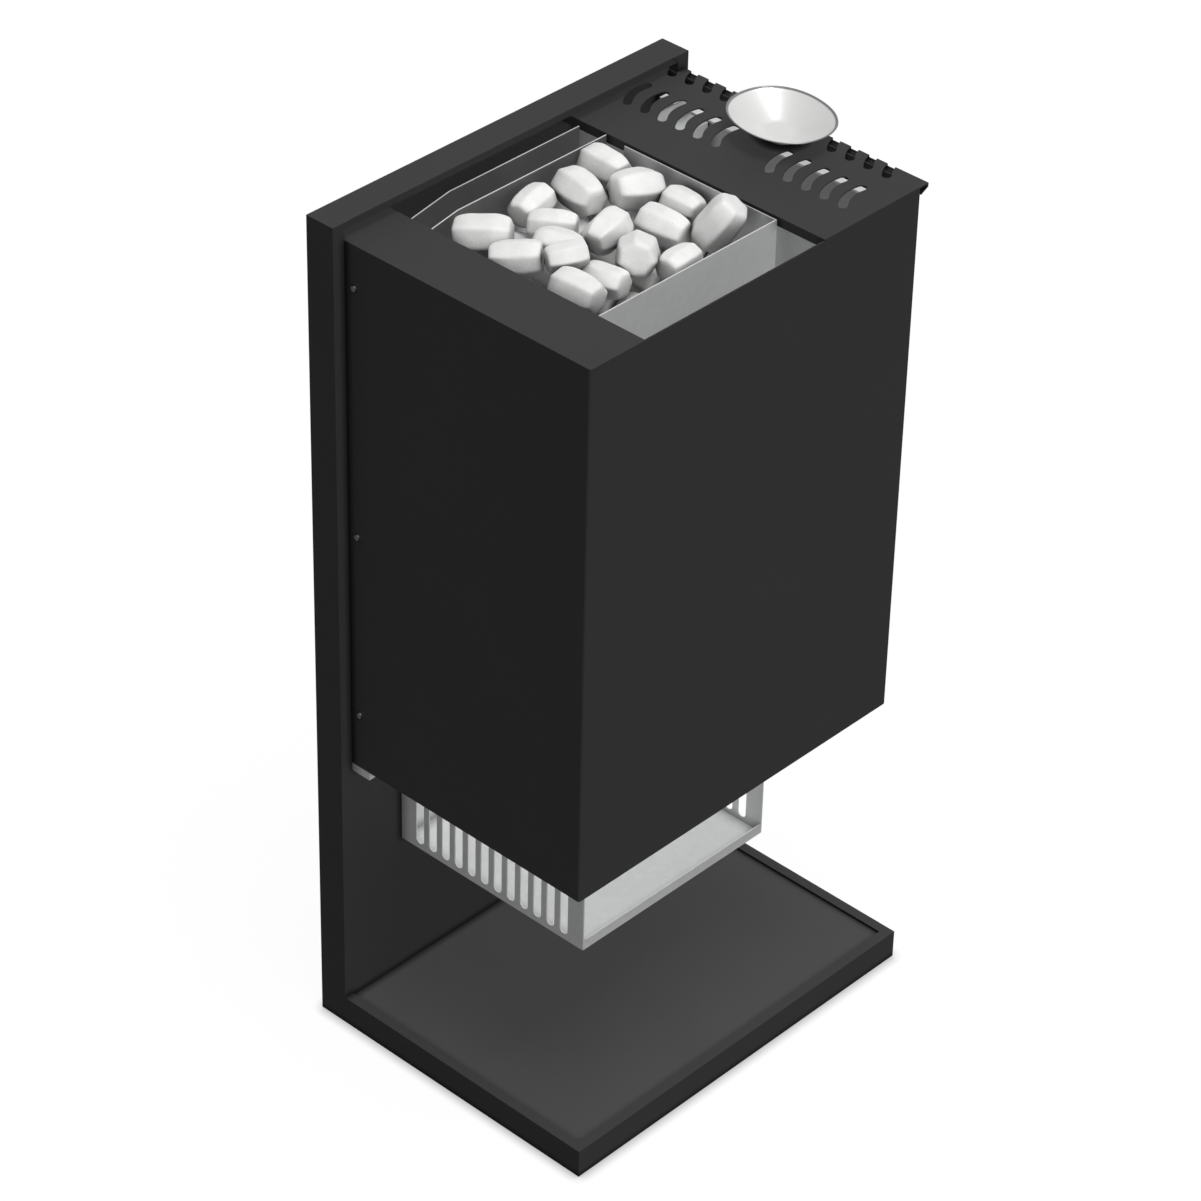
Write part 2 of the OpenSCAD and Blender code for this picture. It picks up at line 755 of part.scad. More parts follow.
module grate_ledges() {
    color(zinc) for (s = [0, 1]) {
        x = s == 0 ? in_x0 : in_x1 - ledge_w;
        wall = s == 0 ? in_x0 : in_x1 - g;
        block([x, in_y0 + clear, grate_z - bar_d - g], [x + ledge_w, in_y1 - clear, grate_z - bar_d]);
        block([wall, in_y0 + clear, grate_z - bar_d - ledge_h], [wall + g, in_y1 - clear, grate_z - bar_d]);
    }
}

module stone_grate() {
    x0 = in_x0 + clear;
    x1 = in_x1 - clear;
    y0 = in_y0 + clear;
    y1 = in_y1 - clear;
    step = (y1 - y0 - 2 * grate_rim) / (bars + 1);
    color(heat_blued) {
        difference() {
            block([x0, y0, grate_z - bar_d], [x1, y1, grate_z]);
            block([x0 + grate_rim, y0 + grate_rim, grate_z - bar_d - over],
                  [x1 - grate_rim, y1 - grate_rim, grate_z + over]);
        }
        for (i = [1:bars]) if (abs(y0 + grate_rim + i * step - element_mid_y) < element_arch_r - bar_d - over
                               || abs(y0 + grate_rim + i * step - element_mid_y) > element_arch_r + bar_d + over)
            translate([x0 + grate_rim / 2, y0 + grate_rim + i * step, grate_z - bar_d / 2])
                to_right() cylinder(d = bar_d - over, h = x1 - x0 - grate_rim);
    }
}

// A sauna stone: a barrel with blunt ends, its long axis along X
module stone(l, d) {
    cap = d * stone_cap_share / 2;
    barrel = l * stone_barrel_share / 2;
    to_right() rotate_extrude() polygon([[0, -l / 2], [cap, -l / 2], [d / 2, -barrel],
                                         [d / 2, barrel], [cap, l / 2], [0, l / 2]]);
}

module sauna_stones() {
    layers_top = grate_z + stone_layers * stone_pitch;
    color(stone_grey) {
        for (k = [0:stone_layers - 1], i = [0:stones_across - 1], j = [0:stones_across - 1]) {
            turn = 90 + low_stone_turn * sin(97 * i + 61 * j + 143 * k);
            translate([in_x0 + (i + 0.5) * cell_x, in_y0 + (j + 0.5) * cell_y,
                       grate_z + low_stone_d / 2 + k * stone_pitch])
                rotate([0, 0, turn]) stone(low_stone_l, low_stone_d);
        }
        for (s = top_stones)
            translate([in_x0 + s[0] * in_w, in_y0 + s[1] * in_d, layers_top + s[2] * stone_d])
                rotate([0, -s[4], s[3]]) stone(stone_l * s[5], stone_d * s[5]);
    }
}

// Heating elements

// A hairpin that stands among the stones; its two legs bend to the right below the grate
module heating_element(i) {
    x = element_names_x[i];
    z = element_run_z[i];
    arch_z = element_top - element_arch_r - element_d / 2;
    color(heat_blued) {
        translate([x, element_mid_y, arch_z]) rotate([90, 0, 90])
            rotate_extrude(angle = 180) translate([element_arch_r, 0]) circle(d = element_d);
        for (s = [-1, 1]) translate([x, element_mid_y + s * element_arch_r, 0]) {
            translate([0, 0, z + element_bend_r])
                cylinder(d = element_d, h = arch_z - z - element_bend_r);
            translate([element_bend_r, 0, z + element_bend_r]) rotate([90, 0, 0]) rotate([0, 0, 180])
                rotate_extrude(angle = 90) translate([element_bend_r, 0]) circle(d = element_d);
            translate([element_bend_r, 0, z]) to_right()
                cylinder(d = element_d, h = element_end_x - x - element_bend_r);
            translate([part_x - collar_in - x, 0, z]) to_right()
                cylinder(d = collar_d, h = collar_in + g + collar_out);
            translate([element_end_x - x, 0, z]) to_right() cylinder(d = pin_d, h = pin_l);
        }
    }
}

module element_nuts() {
    color(brass) for (z = element_run_z, s = [-1, 1])
        translate([part_x + g, element_mid_y + s * element_arch_r, z]) to_right() difference() {
            hex(nut_af, nut_h);
            translate([0, 0, -over]) cylinder(d = collar_d + 2 * run_clear, h = nut_h + 2 * over);
        }
}

// Shields behind and beside the stone box

function shield_bolts() = [for (a = shield_bolt_x_shares, b = shield_bolt_z_shares)
    [box_x0 + a * (box_x1 - box_x0), bot_z + b * casing_h]];

// An upright sheet that runs along X and is bent forward at its left end
module bent_shield(y, bend_x, x1) {
    lean = (bend_x - shield_x0) * tan(shield_bend);
    color(heat_blued) difference() {
        translate([0, 0, plate_top]) linear_extrude(top_z - plate_top)
            polygon([[shield_x0, y - lean], [bend_x, y], [x1, y], [x1, y + blued_sheet],
                     [bend_x, y + blued_sheet], [shield_x0, y - lean + blued_sheet]]);
        // its left end stands below the casing's flange
        block([shield_x0 - over, y - lean - over, box_top],
              [left_flange_w - cx + clear, y + blued_sheet + over, top_z + over]);
        for (p = shield_bolts()) translate([p[0], y - over, p[1]])
            to_back() cylinder(d = shield_bolt_d + 2 * hole_clear, h = blued_sheet + 2 * over);
    }
}

module inner_rear_shield() {
    bent_shield(shield_y, inner_bend_x, inner_shield_x1);
}

module outer_rear_shield() {
    bent_shield(shield_y + shield_gap, outer_bend_x, outer_shield_x1);
}

module shield_spacers() {
    color(zinc) for (p = shield_bolts(), s = [0, 1]) {
        y0 = shield_y + blued_sheet + s * shield_gap;
        y1 = s == 0 ? shield_y + shield_gap : cb - t;
        translate([p[0], y0, p[1]]) to_back() difference() {
            cylinder(d = spacer_tube_d, h = y1 - y0);
            translate([0, 0, -over]) cylinder(d = shield_bolt_d + 2 * hole_clear, h = y1 - y0 + 2 * over);
        }
    }
}

module shield_screws() {
    color(zinc) for (p = shield_bolts()) translate([p[0], shield_y, p[1]]) {
        to_front() hex(shield_head_af, shield_head_h);
        to_back() cylinder(d = shield_bolt_d, h = cb - shield_y + over);
    }
}

module left_heat_shield() {
    x = -cx + t + left_standoff;
    color(zinc) block([x, side_shield_y0, plate_top],
                      [x + blued_sheet, side_shield_y1, top_z - side_shield_drop]);
}

module right_heat_shield() {
    z = top_z - side_shield_drop;
    color(zinc) {
        block([shield_x, side_shield_y0, plate_top], [shield_x + blued_sheet, side_shield_y1, z]);
        // its top is folded out towards the casing's side
        block([shield_x, side_shield_y0, z - blued_sheet], [cx - 2 * t - clear, side_shield_y1, z]);
    }
}

module side_standoffs() {
    color(zinc) {
        for (a = standoff_y_shares, b = standoff_z_shares) {
            y = cf + a * casing_d;
            z = bot_z + b * casing_h;
            translate([-cx + t, y, z]) to_right() cylinder(d = standoff_d, h = left_standoff);
            translate([cx - t, y, z]) to_left() cylinder(d = standoff_d, h = right_standoff);
        }
        for (a = tbox_boss_shares)
            translate([(tbox_x0 + tbox_x1) / 2, tbox_y1, tbox_z0 + a * (tbox_z1 - tbox_z0)])
                to_back() cylinder(d = tbox_boss_d, h = cb - t - tbox_y1);
    }
}

// Air inlet tray

// Where the tray's screws pass through the foot of what stands on the bottom plate
module tray_screw_holes() {
    for (p = tray_screw_points()) translate([p[0], p[1], plate_top - over])
        cylinder(d = screw_d + 2 * hole_clear, h = g + 2 * over);
}

function tray_screw_points() = [for (s = [-1, 1], a = tray_screw_shares)
    [s < 0 ? tray_x0 - tray_flange / 2 : tray_x1 + tray_flange / 2, tray_y0 + a * (tray_y1 - tray_y0)]];

module air_inlet_tray() {
    slot_h = tray_drop - tray_slot_foot - tray_slot_head;
    color(zinc) difference() {
        union() {
            difference() {
                block([tray_x0, tray_y0, tray_z], [tray_x1, tray_y1, bot_z + t]);
                block([tray_x0 + g, tray_y0 + g, tray_z + g], [tray_x1 - g, tray_y1 - g, bot_z + t + over]);
                block([tray_x0 + g, tray_y0 - over, tray_z + tray_lip_h],
                      [tray_x1 - g, tray_y0 + g + over, bot_z + t + over]);
            }
            block([tray_x0 - tray_flange, tray_y0, bot_z], [tray_x0 + g, tray_y1, bot_z + t]);
            block([tray_x1 - g, tray_y0, bot_z], [tray_x1 + tray_flange, tray_y1, bot_z + t]);
        }
        for (k = [0:tray_slots - 1])
            translate([tray_x0 - over, tray_y0 + tray_slot_edge + tray_slot_w / 2 + k * tray_pitch, tray_z]) {
                translate([0, -tray_slot_w / 2, tray_slot_foot + tray_slot_w / 2])
                    cube([tray_x1 - tray_x0 + 2 * over, tray_slot_w, slot_h - tray_slot_w]);
                for (z = [tray_slot_foot + tray_slot_w / 2, tray_slot_foot + slot_h - tray_slot_w / 2])
                    translate([0, 0, z]) to_right()
                        cylinder(d = tray_slot_w, h = tray_x1 - tray_x0 + 2 * over);
            }
        for (p = tray_screw_points()) translate([p[0], p[1], bot_z - over])
            cylinder(d = screw_d + 2 * hole_clear, h = t + 2 * over);
    }
}

module tray_screws() {
    color(stainless) for (p = tray_screw_points()) translate([p[0], p[1], bot_z])
        rotate([180, 0, 0]) pan_screw(screw_head_d, screw_head_h, screw_d, screw_l);
}

// Evaporator

module tank_shelf() {
    color(zinc) difference() {
        union() {
            block([steam_x0, tank_y0, shelf_z - g], [shelf_x1, tank_y1, shelf_z]);
            block([steam_x0, tank_y0, shelf_z - gusset_h], [steam_x0 + g, tank_y1, shelf_z]);
            for (y = [tank_y0, tank_y1 - g]) linear_extrude_y(y, y + g)
                polygon([[steam_x0, shelf_z - gusset_h], [steam_x0, shelf_z], [shelf_x1, shelf_z],
                         [shelf_x1, shelf_z - 2 * g], [steam_x0 + g, shelf_z - gusset_h]]);
        }
        translate([drain_x, drain_y, shelf_z - g - over])
            cylinder(d = drain_d + 2 * clear, h = g + 2 * over);
        for (s = shelf_screw_shares)
            translate([steam_x0 - over, tank_y0 + s * (tank_y1 - tank_y0), shelf_z - gusset_h / 2])
                to_right() cylinder(d = screw_d + 2 * hole_clear, h = g + 2 * over);
    }
}

module shelf_screws() {
    color(stainless) for (s = shelf_screw_shares)
        translate([part_x, tank_y0 + s * (tank_y1 - tank_y0), shelf_z - gusset_h / 2])
            to_left() pan_screw(screw_head_d, screw_head_h, screw_d, screw_l);
}

module evaporator_tank() {
    color(stainless) difference() {
        block([tank_x0, tank_y0, tank_z], [tank_x1, tank_y1, tank_z + tank_h]);
        block([tank_x0 + tank_sheet, tank_y0 + tank_sheet, tank_z + tank_sheet],
              [tank_x1 - tank_sheet, tank_y1 - tank_sheet, tank_z + tank_h + over]);
        translate([drain_x, drain_y, tank_z - over])
            cylinder(d = drain_d + 2 * hole_clear, h = tank_sheet + 2 * over);
        translate([heater_x, tank_y1 - tank_sheet - over, heater_z])
            to_back() cylinder(d = stub_d + 2 * hole_clear, h = tank_sheet + 2 * over);
    }
}

module evaporator_element() {
    inner_y = tank_y1 - tank_sheet - 6 * over;
    front = tank_y0 + heater_end;
    color(stainless) {
        translate([heater_x, tank_y1 + gasket_h, heater_z]) to_back() hex(hex_af, hex_h);
        translate([heater_x, tank_y1 + gasket_h, heater_z]) to_front()
            cylinder(d = stub_d, h = tank_y1 + gasket_h - inner_y);
        for (s = [-1, 1]) translate([heater_x + s * heater_half, inner_y, heater_z])
            to_front() cylinder(d = heater_d, h = inner_y - front);
        translate([heater_x, front, heater_z]) rotate([0, 0, 180])
            rotate_extrude(angle = 180) translate([heater_half, 0]) circle(d = heater_d);
    }
}

module element_gasket() {
    color("#3a3a3c") translate([heater_x, tank_y1, heater_z]) to_back() difference() {
        cylinder(d = gasket_d, h = gasket_h);
        translate([0, 0, -over]) cylinder(d = stub_d + 2 * hole_clear, h = gasket_h + 2 * over);
    }
}

module float_stem() {
    foot = tank_z + tank_sheet;
    color(stainless) translate([stem_x, stem_y, foot]) {
        cylinder(d = stem_foot_d, h = stem_foot_h);
        cylinder(d = stem_d, h = stem_h);
        translate([0, 0, float_z - foot - stem_collar_h]) cylinder(d = stem_collar_d, h = stem_collar_h);
    }
}

module level_float() {
    color(ceramic) translate([stem_x, stem_y, float_z]) difference() {
        cylinder(d = float_d, h = float_h);
        translate([0, 0, -over]) cylinder(d = stem_d + 2 * run_clear, h = float_h + 2 * over);
    }
}

module stem_clip() {
    color(zinc) translate([stem_x, stem_y, float_z + float_h + float_travel + clip_h]) difference() {
        cylinder(d = clip_d, h = clip_h);
        translate([0, 0, -over]) cylinder(d = stem_d, h = clip_h + 2 * over);
    }
}

// Drain

module drain_pipe() {
    foot = tank_z + tank_sheet;
    color(brass) translate([drain_x, drain_y, 0]) difference() {
        union() {
            translate([0, 0, pipe_bottom]) cylinder(d = drain_d, h = foot - pipe_bottom + drain_flange_h);
            translate([0, 0, foot]) cylinder(d = drain_flange_d, h = drain_flange_h);
        }
        translate([0, 0, pipe_bottom - over])
            cylinder(d = drain_d - 2 * drain_wall, h = foot - pipe_bottom + drain_flange_h + 2 * over);
    }
}

module drain_valve_body() {
    half = valve_cross_l / 2;
    color(brass) translate([drain_x, drain_y, 0]) difference() {
        union() {
            translate([0, 0, valve_bottom]) cylinder(d = valve_d, h = valve_top - valve_bottom);
            translate([-half, 0, valve_z]) to_right() cylinder(d = valve_cross_d, h = valve_cross_l);
        }
        translate([0, 0, pipe_bottom]) cylinder(d = drain_d + 2 * run_clear, h = valve_top - pipe_bottom + over);
        translate([0, 0, valve_bottom - over])
            cylinder(d = valve_bore_d, h = pipe_bottom - valve_bottom + 2 * over);
        translate([-half - over, 0, valve_z]) to_right()
            cylinder(d = plug_d + 2 * run_clear, h = valve_cross_l + 2 * over);
    }
}

// The plug turns across the valve's bore; at rest its own bore lies across the pipe
module drain_plug() {
    half = valve_cross_l / 2 + clear;
    color(stainless) translate([drain_x, drain_y, valve_z]) difference() {
        union() {
            translate([-half, 0, 0]) to_right() cylinder(d = plug_d, h = 2 * half);
            translate([half, 0, 0]) to_right() cylinder(d = plug_end_d, h = lever_t + plug_end);
            translate([-half, 0, 0]) to_left() cylinder(d = plug_end_d, h = plug_nut_h + over);
        }
        translate([0, -plug_d, 0]) to_back() cylinder(d = valve_bore_d, h = 2 * plug_d);
    }
}

module drain_lever() {
    x = drain_x + valve_cross_l / 2 + clear;
    color("#9c2f28") translate([x, drain_y, valve_z]) difference() {
        union() {
            to_right() cylinder(d = valve_cross_d - 2 * over, h = lever_t);
            translate([0, -lever_l, -lever_w / 2]) cube([lever_t, lever_l, lever_w]);
            translate([0, -lever_l, 0]) to_right() cylinder(d = lever_w, h = lever_t);
        }
        translate([-over, 0, 0]) to_right() cylinder(d = plug_end_d, h = lever_t + 2 * over);
    }
}

module plug_nut() {
    half = valve_cross_l / 2 + clear;
    color(zinc) translate([drain_x - half, drain_y, valve_z]) to_left() difference() {
        hex(plug_nut_af, plug_nut_h);
        translate([0, 0, -over]) cylinder(d = plug_end_d, h = plug_nut_h + 2 * over);
    }
}

module hose_tail() {
    color(brass) translate([drain_x, drain_y, valve_bottom]) difference() {
        union() {
            translate([0, 0, -tail_hex_h]) hex(tail_hex_af, tail_hex_h);
            translate([0, 0, -tail_hex_h - tail_l]) cylinder(d = tail_d, h = tail_l);
        }
        translate([0, 0, -tail_hex_h - tail_l - over]) cylinder(d = tail_bore, h = tail_hex_h + tail_l + 2 * over);
    }
}

// Electrics

module terminal_box() {
    w = box_wall;
    color(zinc) difference() {
        block([tbox_x0, tbox_y0, tbox_z0], [tbox_x1, tbox_y1, tbox_z1]);
        block([tbox_x0 + w, tbox_y0 - over, tbox_z0 + w], [tbox_x1 - w, tbox_y1 - w, tbox_z1 - w]);
        translate([conduit_x, conduit_y, tbox_z0 - over]) cylinder(d = conduit_bore, h = w + 2 * over);
    }
    // the top sheet's upstand
    color(zinc) block([tbox_x0, tbox_y0 + tbox_upstand_back, tbox_z1 - w],
                      [tbox_x1, tbox_y0 + tbox_upstand_back + w, tbox_z1 + tbox_upstand_h]);
    // the folded lips that the cover is screwed to
    color(zinc) for (s = [0, 1]) {
        x = s == 0 ? tbox_x0 + w : tbox_x1 - w - tbox_lip;
        difference() {
            block([x, tbox_y0, tbox_z0 + w], [x + tbox_lip, tbox_y0 + w, tbox_z1 - w]);
            for (p = box_cover_screws()) translate([p[0], tbox_y0 - over, p[1]])
                to_back() cylinder(d = cover_screw_d + 2 * hole_clear, h = w + 2 * over);
        }
    }
}

function box_cover_screws() = [for (x = [tbox_x0 + cover_screw_inset, tbox_x1 - cover_screw_inset],
                                    z = [tbox_z0 + 2 * cover_screw_inset, tbox_z1 - 2 * cover_screw_inset])
    [x, z]];

module terminal_box_cover() {
    color(zinc) difference() {
        block([tbox_x0, tbox_y0 - box_wall, tbox_z0], [tbox_x1, tbox_y0, tbox_z1]);
        for (p = box_cover_screws()) translate([p[0], tbox_y0 - box_wall - over, p[1]])
            to_back() cylinder(d = cover_screw_d + 2 * hole_clear, h = box_wall + 2 * over);
    }
}

module terminal_cover_screws() {
    color(stainless) for (p = box_cover_screws()) translate([p[0], tbox_y0 - box_wall, p[1]])
        to_front() pan_screw(cover_screw_head_d, cover_screw_head_h, cover_screw_d, cover_screw_l);
}

module terminal_block() {
    x = (tbox_x0 + tbox_x1) / 2 - block_l / 2;
    y = tbox_y1 - box_wall - block_d;
    z = (tbox_z0 + tbox_z1) / 2;
    color(ceramic) difference() {
        block([x, y, z], [x + block_l, y + block_d, z + block_h]);
        for (k = [0:block_ways - 1]) {
            wx = x + (k + 0.5) * block_l / block_ways;
            translate([wx, y + block_d / 2, z - over]) cylinder(d = block_hole_d, h = block_h + 2 * over);
            translate([wx, y - over, z + block_h / 2])
                to_back() cylinder(d = block_screw_d, h = block_d / 2 + over);
        }
    }
}

module wire_conduit() {
    z = plate_top + locknut_h;
    color(zinc) translate([conduit_x, conduit_y, z]) difference() {
        cylinder(d = conduit_d, h = tbox_z0 - z);
        translate([0, 0, -over]) cylinder(d = conduit_bore, h = tbox_z0 - z + 2 * over);
    }
}

module cable_gland() {
    color("#333436") translate([conduit_x, conduit_y, bot_z + t]) difference() {
        union() {
            cylinder(d = gland_d, h = t + locknut_h);
            translate([0, 0, -gland_hex_h]) hex(gland_af, gland_hex_h);
            translate([0, 0, -gland_hex_h - gland_dome_h]) cylinder(d = gland_dome_d, h = gland_dome_h);
        }
        translate([0, 0, -gland_hex_h - gland_dome_h - over])
            cylinder(d = gland_bore, h = gland_hex_h + gland_dome_h + t + locknut_h + 2 * over);
    }
}

module gland_locknut() {
    color("#333436") translate([conduit_x, conduit_y, plate_top]) difference() {
        hex(locknut_af, locknut_h);
        translate([0, 0, -over]) cylinder(d = gland_d + 2 * run_clear, h = locknut_h + 2 * over);
    }
}

module thermal_cutout() {
    color(ceramic) translate([cutout_x, sensor_y, plate_top]) difference() {
        translate([-cutout_w / 2, -cutout_w / 2, 0]) cube([cutout_w, cutout_w, cutout_h]);
        translate([0, 0, -over]) cylinder(d = button_d + 2 * run_clear, h = button_up + button_collar_h + over);
        translate([0, 0, cutout_room_z]) cylinder(d = cutout_room_d, h = cutout_room_h);
    }
}

module reset_button() {
    color("#b8302a") translate([cutout_x, sensor_y, plate_top]) {
        translate([0, 0, -button_out - t]) cylinder(d = button_d, h = button_out + t + button_up);
        translate([0, 0, cutout_room_z + run_clear]) cylinder(d = button_collar_d, h = button_collar_h);
    }
}

// The cut-out's bulb lies between the rear shields; its capillary runs up beside the partition
module heat_sensor() {
    top = plate_top + cutout_h;
    path = [[cutout_x, sensor_y, top], [cutout_x, sensor_y, top + sensor_rise],
            [sensor_x, sensor_y, top + sensor_rise], [sensor_x, sensor_y, sensor_z],
            [box_x1 - sensor_inset, sensor_y, sensor_z]];
    color("#b87a4a") {
        translate(path[0]) cylinder(d = capillary_d, h = sensor_rise);
        translate(path[1]) sphere(d = capillary_d);
        translate(path[2]) to_right() cylinder(d = capillary_d, h = cutout_x - sensor_x);
        translate(path[2]) sphere(d = capillary_d);
        translate(path[2]) cylinder(d = capillary_d, h = sensor_z - top - sensor_rise);
        translate(path[3]) sphere(d = capillary_d);
        translate(path[4]) to_right() cylinder(d = capillary_d, h = sensor_x - path[4][0]);
        translate(path[4]) to_left() cylinder(d = sensor_d, h = sensor_l);
    }
}

// Bowl

module aroma_bowl() {
    k = bowl_w / bowl_l;
    r = bowl_l / 2;
    foot = r * bowl_foot_share;
    color(stainless) translate([bowl_x, bowl_y, top_z + t]) rotate([0, 0, bowl_turn]) scale([k, 1, 1])
        rotate_extrude($fn = 56) polygon([
            [0, bowl_foot_h], [foot - 2 * bowl_wall, bowl_foot_h], [foot - 2 * bowl_wall, 0], [foot, 0],
            for (i = [0:bowl_steps]) side_point(foot, r, bowl_foot_h, bowl_h, i / bowl_steps),
            for (i = [bowl_steps:-1:1])
                side_point(foot - bowl_wall, r - bowl_wall, bowl_foot_h + bowl_wall, bowl_h, i / bowl_steps),
            [0, bowl_foot_h + bowl_wall]]);
}

// A point at share a of the way up a bowl's side, from radius r0 at height z0 to r1 at z1
function side_point(r0, r1, z0, z1, a) = [r0 + (r1 - r0) * a, z0 + (z1 - z0) * pow(a, bowl_curve)];

stand_back_panel();
stand_base_tray();
stand_floor_plate();
stand_rails();
stand_bolts();
hanging_rail();
hanging_rail_screws();
hanger_hooks();
back_plate();
outer_casing();
casing_screws();
bottom_plate();
lower_spacers();
steam_cover();
partition_wall();
stone_box();
grate_ledges();
stone_grate();
sauna_stones();
heating_element(0);  // heating_element_left
heating_element(1);  // heating_element_middle
heating_element(2);  // heating_element_right
element_nuts();
inner_rear_shield();
outer_rear_shield();
shield_spacers();
shield_screws();
left_heat_shield();
right_heat_shield();
side_standoffs();
air_inlet_tray();
tray_screws();
tank_shelf();
shelf_screws();
evaporator_tank();
evaporator_element();
element_gasket();
float_stem();
level_float();
stem_clip();
drain_pipe();
drain_valve_body();
drain_plug();
drain_lever();
plug_nut();
hose_tail();
terminal_box();
terminal_box_cover();
terminal_cover_screws();
terminal_block();
wire_conduit();
cable_gland();
gland_locknut();
thermal_cutout();
reset_button();
heat_sensor();
aroma_bowl();
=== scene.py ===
# Sauna heater stove: finishes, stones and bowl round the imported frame, all in metres.
import json
import math

import bpy
import numpy as np
from mathutils import Matrix, Vector


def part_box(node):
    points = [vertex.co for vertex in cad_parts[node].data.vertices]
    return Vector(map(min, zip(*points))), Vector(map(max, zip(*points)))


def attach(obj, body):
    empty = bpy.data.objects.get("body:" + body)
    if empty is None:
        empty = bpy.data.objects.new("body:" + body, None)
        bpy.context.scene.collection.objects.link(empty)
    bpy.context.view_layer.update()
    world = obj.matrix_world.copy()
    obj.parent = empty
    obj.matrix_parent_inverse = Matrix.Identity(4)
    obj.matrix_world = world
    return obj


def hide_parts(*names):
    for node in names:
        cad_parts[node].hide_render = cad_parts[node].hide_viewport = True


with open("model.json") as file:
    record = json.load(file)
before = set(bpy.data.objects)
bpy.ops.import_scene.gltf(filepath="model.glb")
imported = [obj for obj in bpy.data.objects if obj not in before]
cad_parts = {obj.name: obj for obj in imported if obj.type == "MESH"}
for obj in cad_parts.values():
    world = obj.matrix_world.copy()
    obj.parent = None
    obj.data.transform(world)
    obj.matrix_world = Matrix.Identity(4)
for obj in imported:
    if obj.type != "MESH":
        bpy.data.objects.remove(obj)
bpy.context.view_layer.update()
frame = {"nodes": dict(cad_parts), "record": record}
nodes = frame["nodes"]


print("frame loaded:", len(nodes), "nodes")


def colour(hexText):
    # sRGB hex to linear: below 0.04045 a straight line, above it the 2.4 power curve
    parts = [int(hexText[i:i + 2], 16) / 255 for i in (1, 3, 5)]
    return tuple(c / 12.92 if c <= 0.04045 else ((c + 0.055) / 1.055) ** 2.4 for c in parts) + (1.0,)


def inUse(sockets, name=None):
    # the first socket in use, or the first of that name: a Mix node hides those of its other data types
    return next(socket for socket in sockets if socket.enabled and name in (None, socket.name))


def addNode(tree, kind, values=None, **settings):
    # each value fills the input of that name or number: a node or a socket is linked, a hex text becomes a
    # colour, and anything else is the input's own number
    node = tree.nodes.new("ShaderNode" + kind)
    for name, value in settings.items():
        setattr(node, name, value)
    for name, value in (values or {}).items():
        target = node.inputs[name] if isinstance(name, int) else inUse(node.inputs, name)
        if isinstance(value, bpy.types.Node):
            value = inUse(value.outputs)
        if isinstance(value, bpy.types.NodeSocket):
            tree.links.new(value, target)
        else:
            target.default_value = colour(value) if isinstance(value, str) else value
    return node


def startMaterial(name):
    material = bpy.data.materials.new(name)
    material.use_nodes = True
    tree = material.node_tree
    tree.nodes.clear()
    return material, tree, addNode(tree, "TexCoord").outputs["Object"]


noiseSpan = {"From Min": 0.3, "From Max": 0.7}      # noise mostly lies between these


def crossTones(tree, value, first, second, low=noiseSpan["From Min"], high=noiseSpan["From Max"]):
    # the first tone where the value is under low, the second where it is over high, a blend between
    share = addNode(tree, "MapRange", {"Value": value, "From Min": low, "From Max": high})
    return addNode(tree, "Mix", {"Factor": share, "A": first, "B": second}, data_type="RGBA")


def shadeHollows(tree, tone, h):
    # painted shade: slots, gaps and corners are painted darker. The share of open surroundings within reach,
    # in millimetres, becomes 0 at closed and 1 at opened, and the tone is multiplied by its power
    clear = addNode(tree, "AmbientOcclusion", {"Distance": h["reach"] / 1000}, samples=8).outputs["AO"]
    share = addNode(tree, "MapRange", {"Value": clear, "From Min": h["closed"], "From Max": h["opened"]})
    depth = addNode(tree, "Math", {0: share, 1: h["power"]}, operation="POWER")
    return addNode(tree, "Mix", {"Factor": depth, "A": "#000000", "B": tone}, data_type="RGBA")


# Camera

cameraView = {
    "place": (-2.8515, -2.5955, 3.2678),
    "azimuth": -47.38,      # degrees round from the front, to the left
    "elevation": 35.49,
    "roll": 1.40,
    "lens": 135.85,         # mm
    "sensor": 36,           # mm
    "farthest": 50,         # the camera sees this far
}


def placeCamera(view):
    data = bpy.data.cameras.new("photoCamera")
    data.lens = view["lens"]
    data.sensor_width = view["sensor"]
    data.clip_end = view["farthest"]
    camera = bpy.data.objects.new("photoCamera", data)
    bpy.context.scene.collection.objects.link(camera)
    azimuth, elevation = math.radians(view["azimuth"]), math.radians(view["elevation"])
    back = Vector((math.sin(azimuth) * math.cos(elevation), -math.cos(azimuth) * math.cos(elevation),
                   math.sin(elevation)))
    roll = Matrix.Rotation(math.radians(view["roll"]), 3, "Z")
    turn = back.to_track_quat("Z", "Y").to_matrix() @ roll
    camera.matrix_world = Matrix.Translation(view["place"]) @ turn.to_4x4()
    bpy.context.scene.camera = camera


placeCamera(cameraView)

# Light and surroundings

studio = {
    "sky": 0.1,                     # even light from all round, the only light that meets the ground
    "mirror": 0.45,                 # how bright the surroundings look in polished metal
    "suns": {
        # strength, direction towards the lamp, soft angle in degrees, casts shadows, makes highlights
        "topSun": (1.6, (0, -0.25, 0.97), 20, False, True),
        "topSunShaded": (0.78, (0, -0.25, 0.97), 30, True, True),
        "sideSun": (0.76, (-0.42, -0.88, 0.25), 20, False, True),
        "rearSun": (0.38, (0.7, 0.6, 0.3), 20, False, False),
    },
    "floorRadius": 6, "floorCorners": 64, "floorDrop": 0.0006,
    "floorForEye": 1.03, "paper": "#f9f9f9",        # the floor as the camera sees it
    "floorForLight": "#6a6a69",     # what the object itself sees of the floor, dark so its sides stay dark
    "shadowShare": 0.16,            # how much of the object's shadow shows on the floor
    # painted contact shadow: the floor's glow is darkened where the stand closes it in
    "contactReach": 0.014,          # the narrow dark line where the stand meets the ground
    "contactShade": 0.5,            # its brightness
    "contactCover": 0.5,            # the share of open surroundings at the stand's foot
}


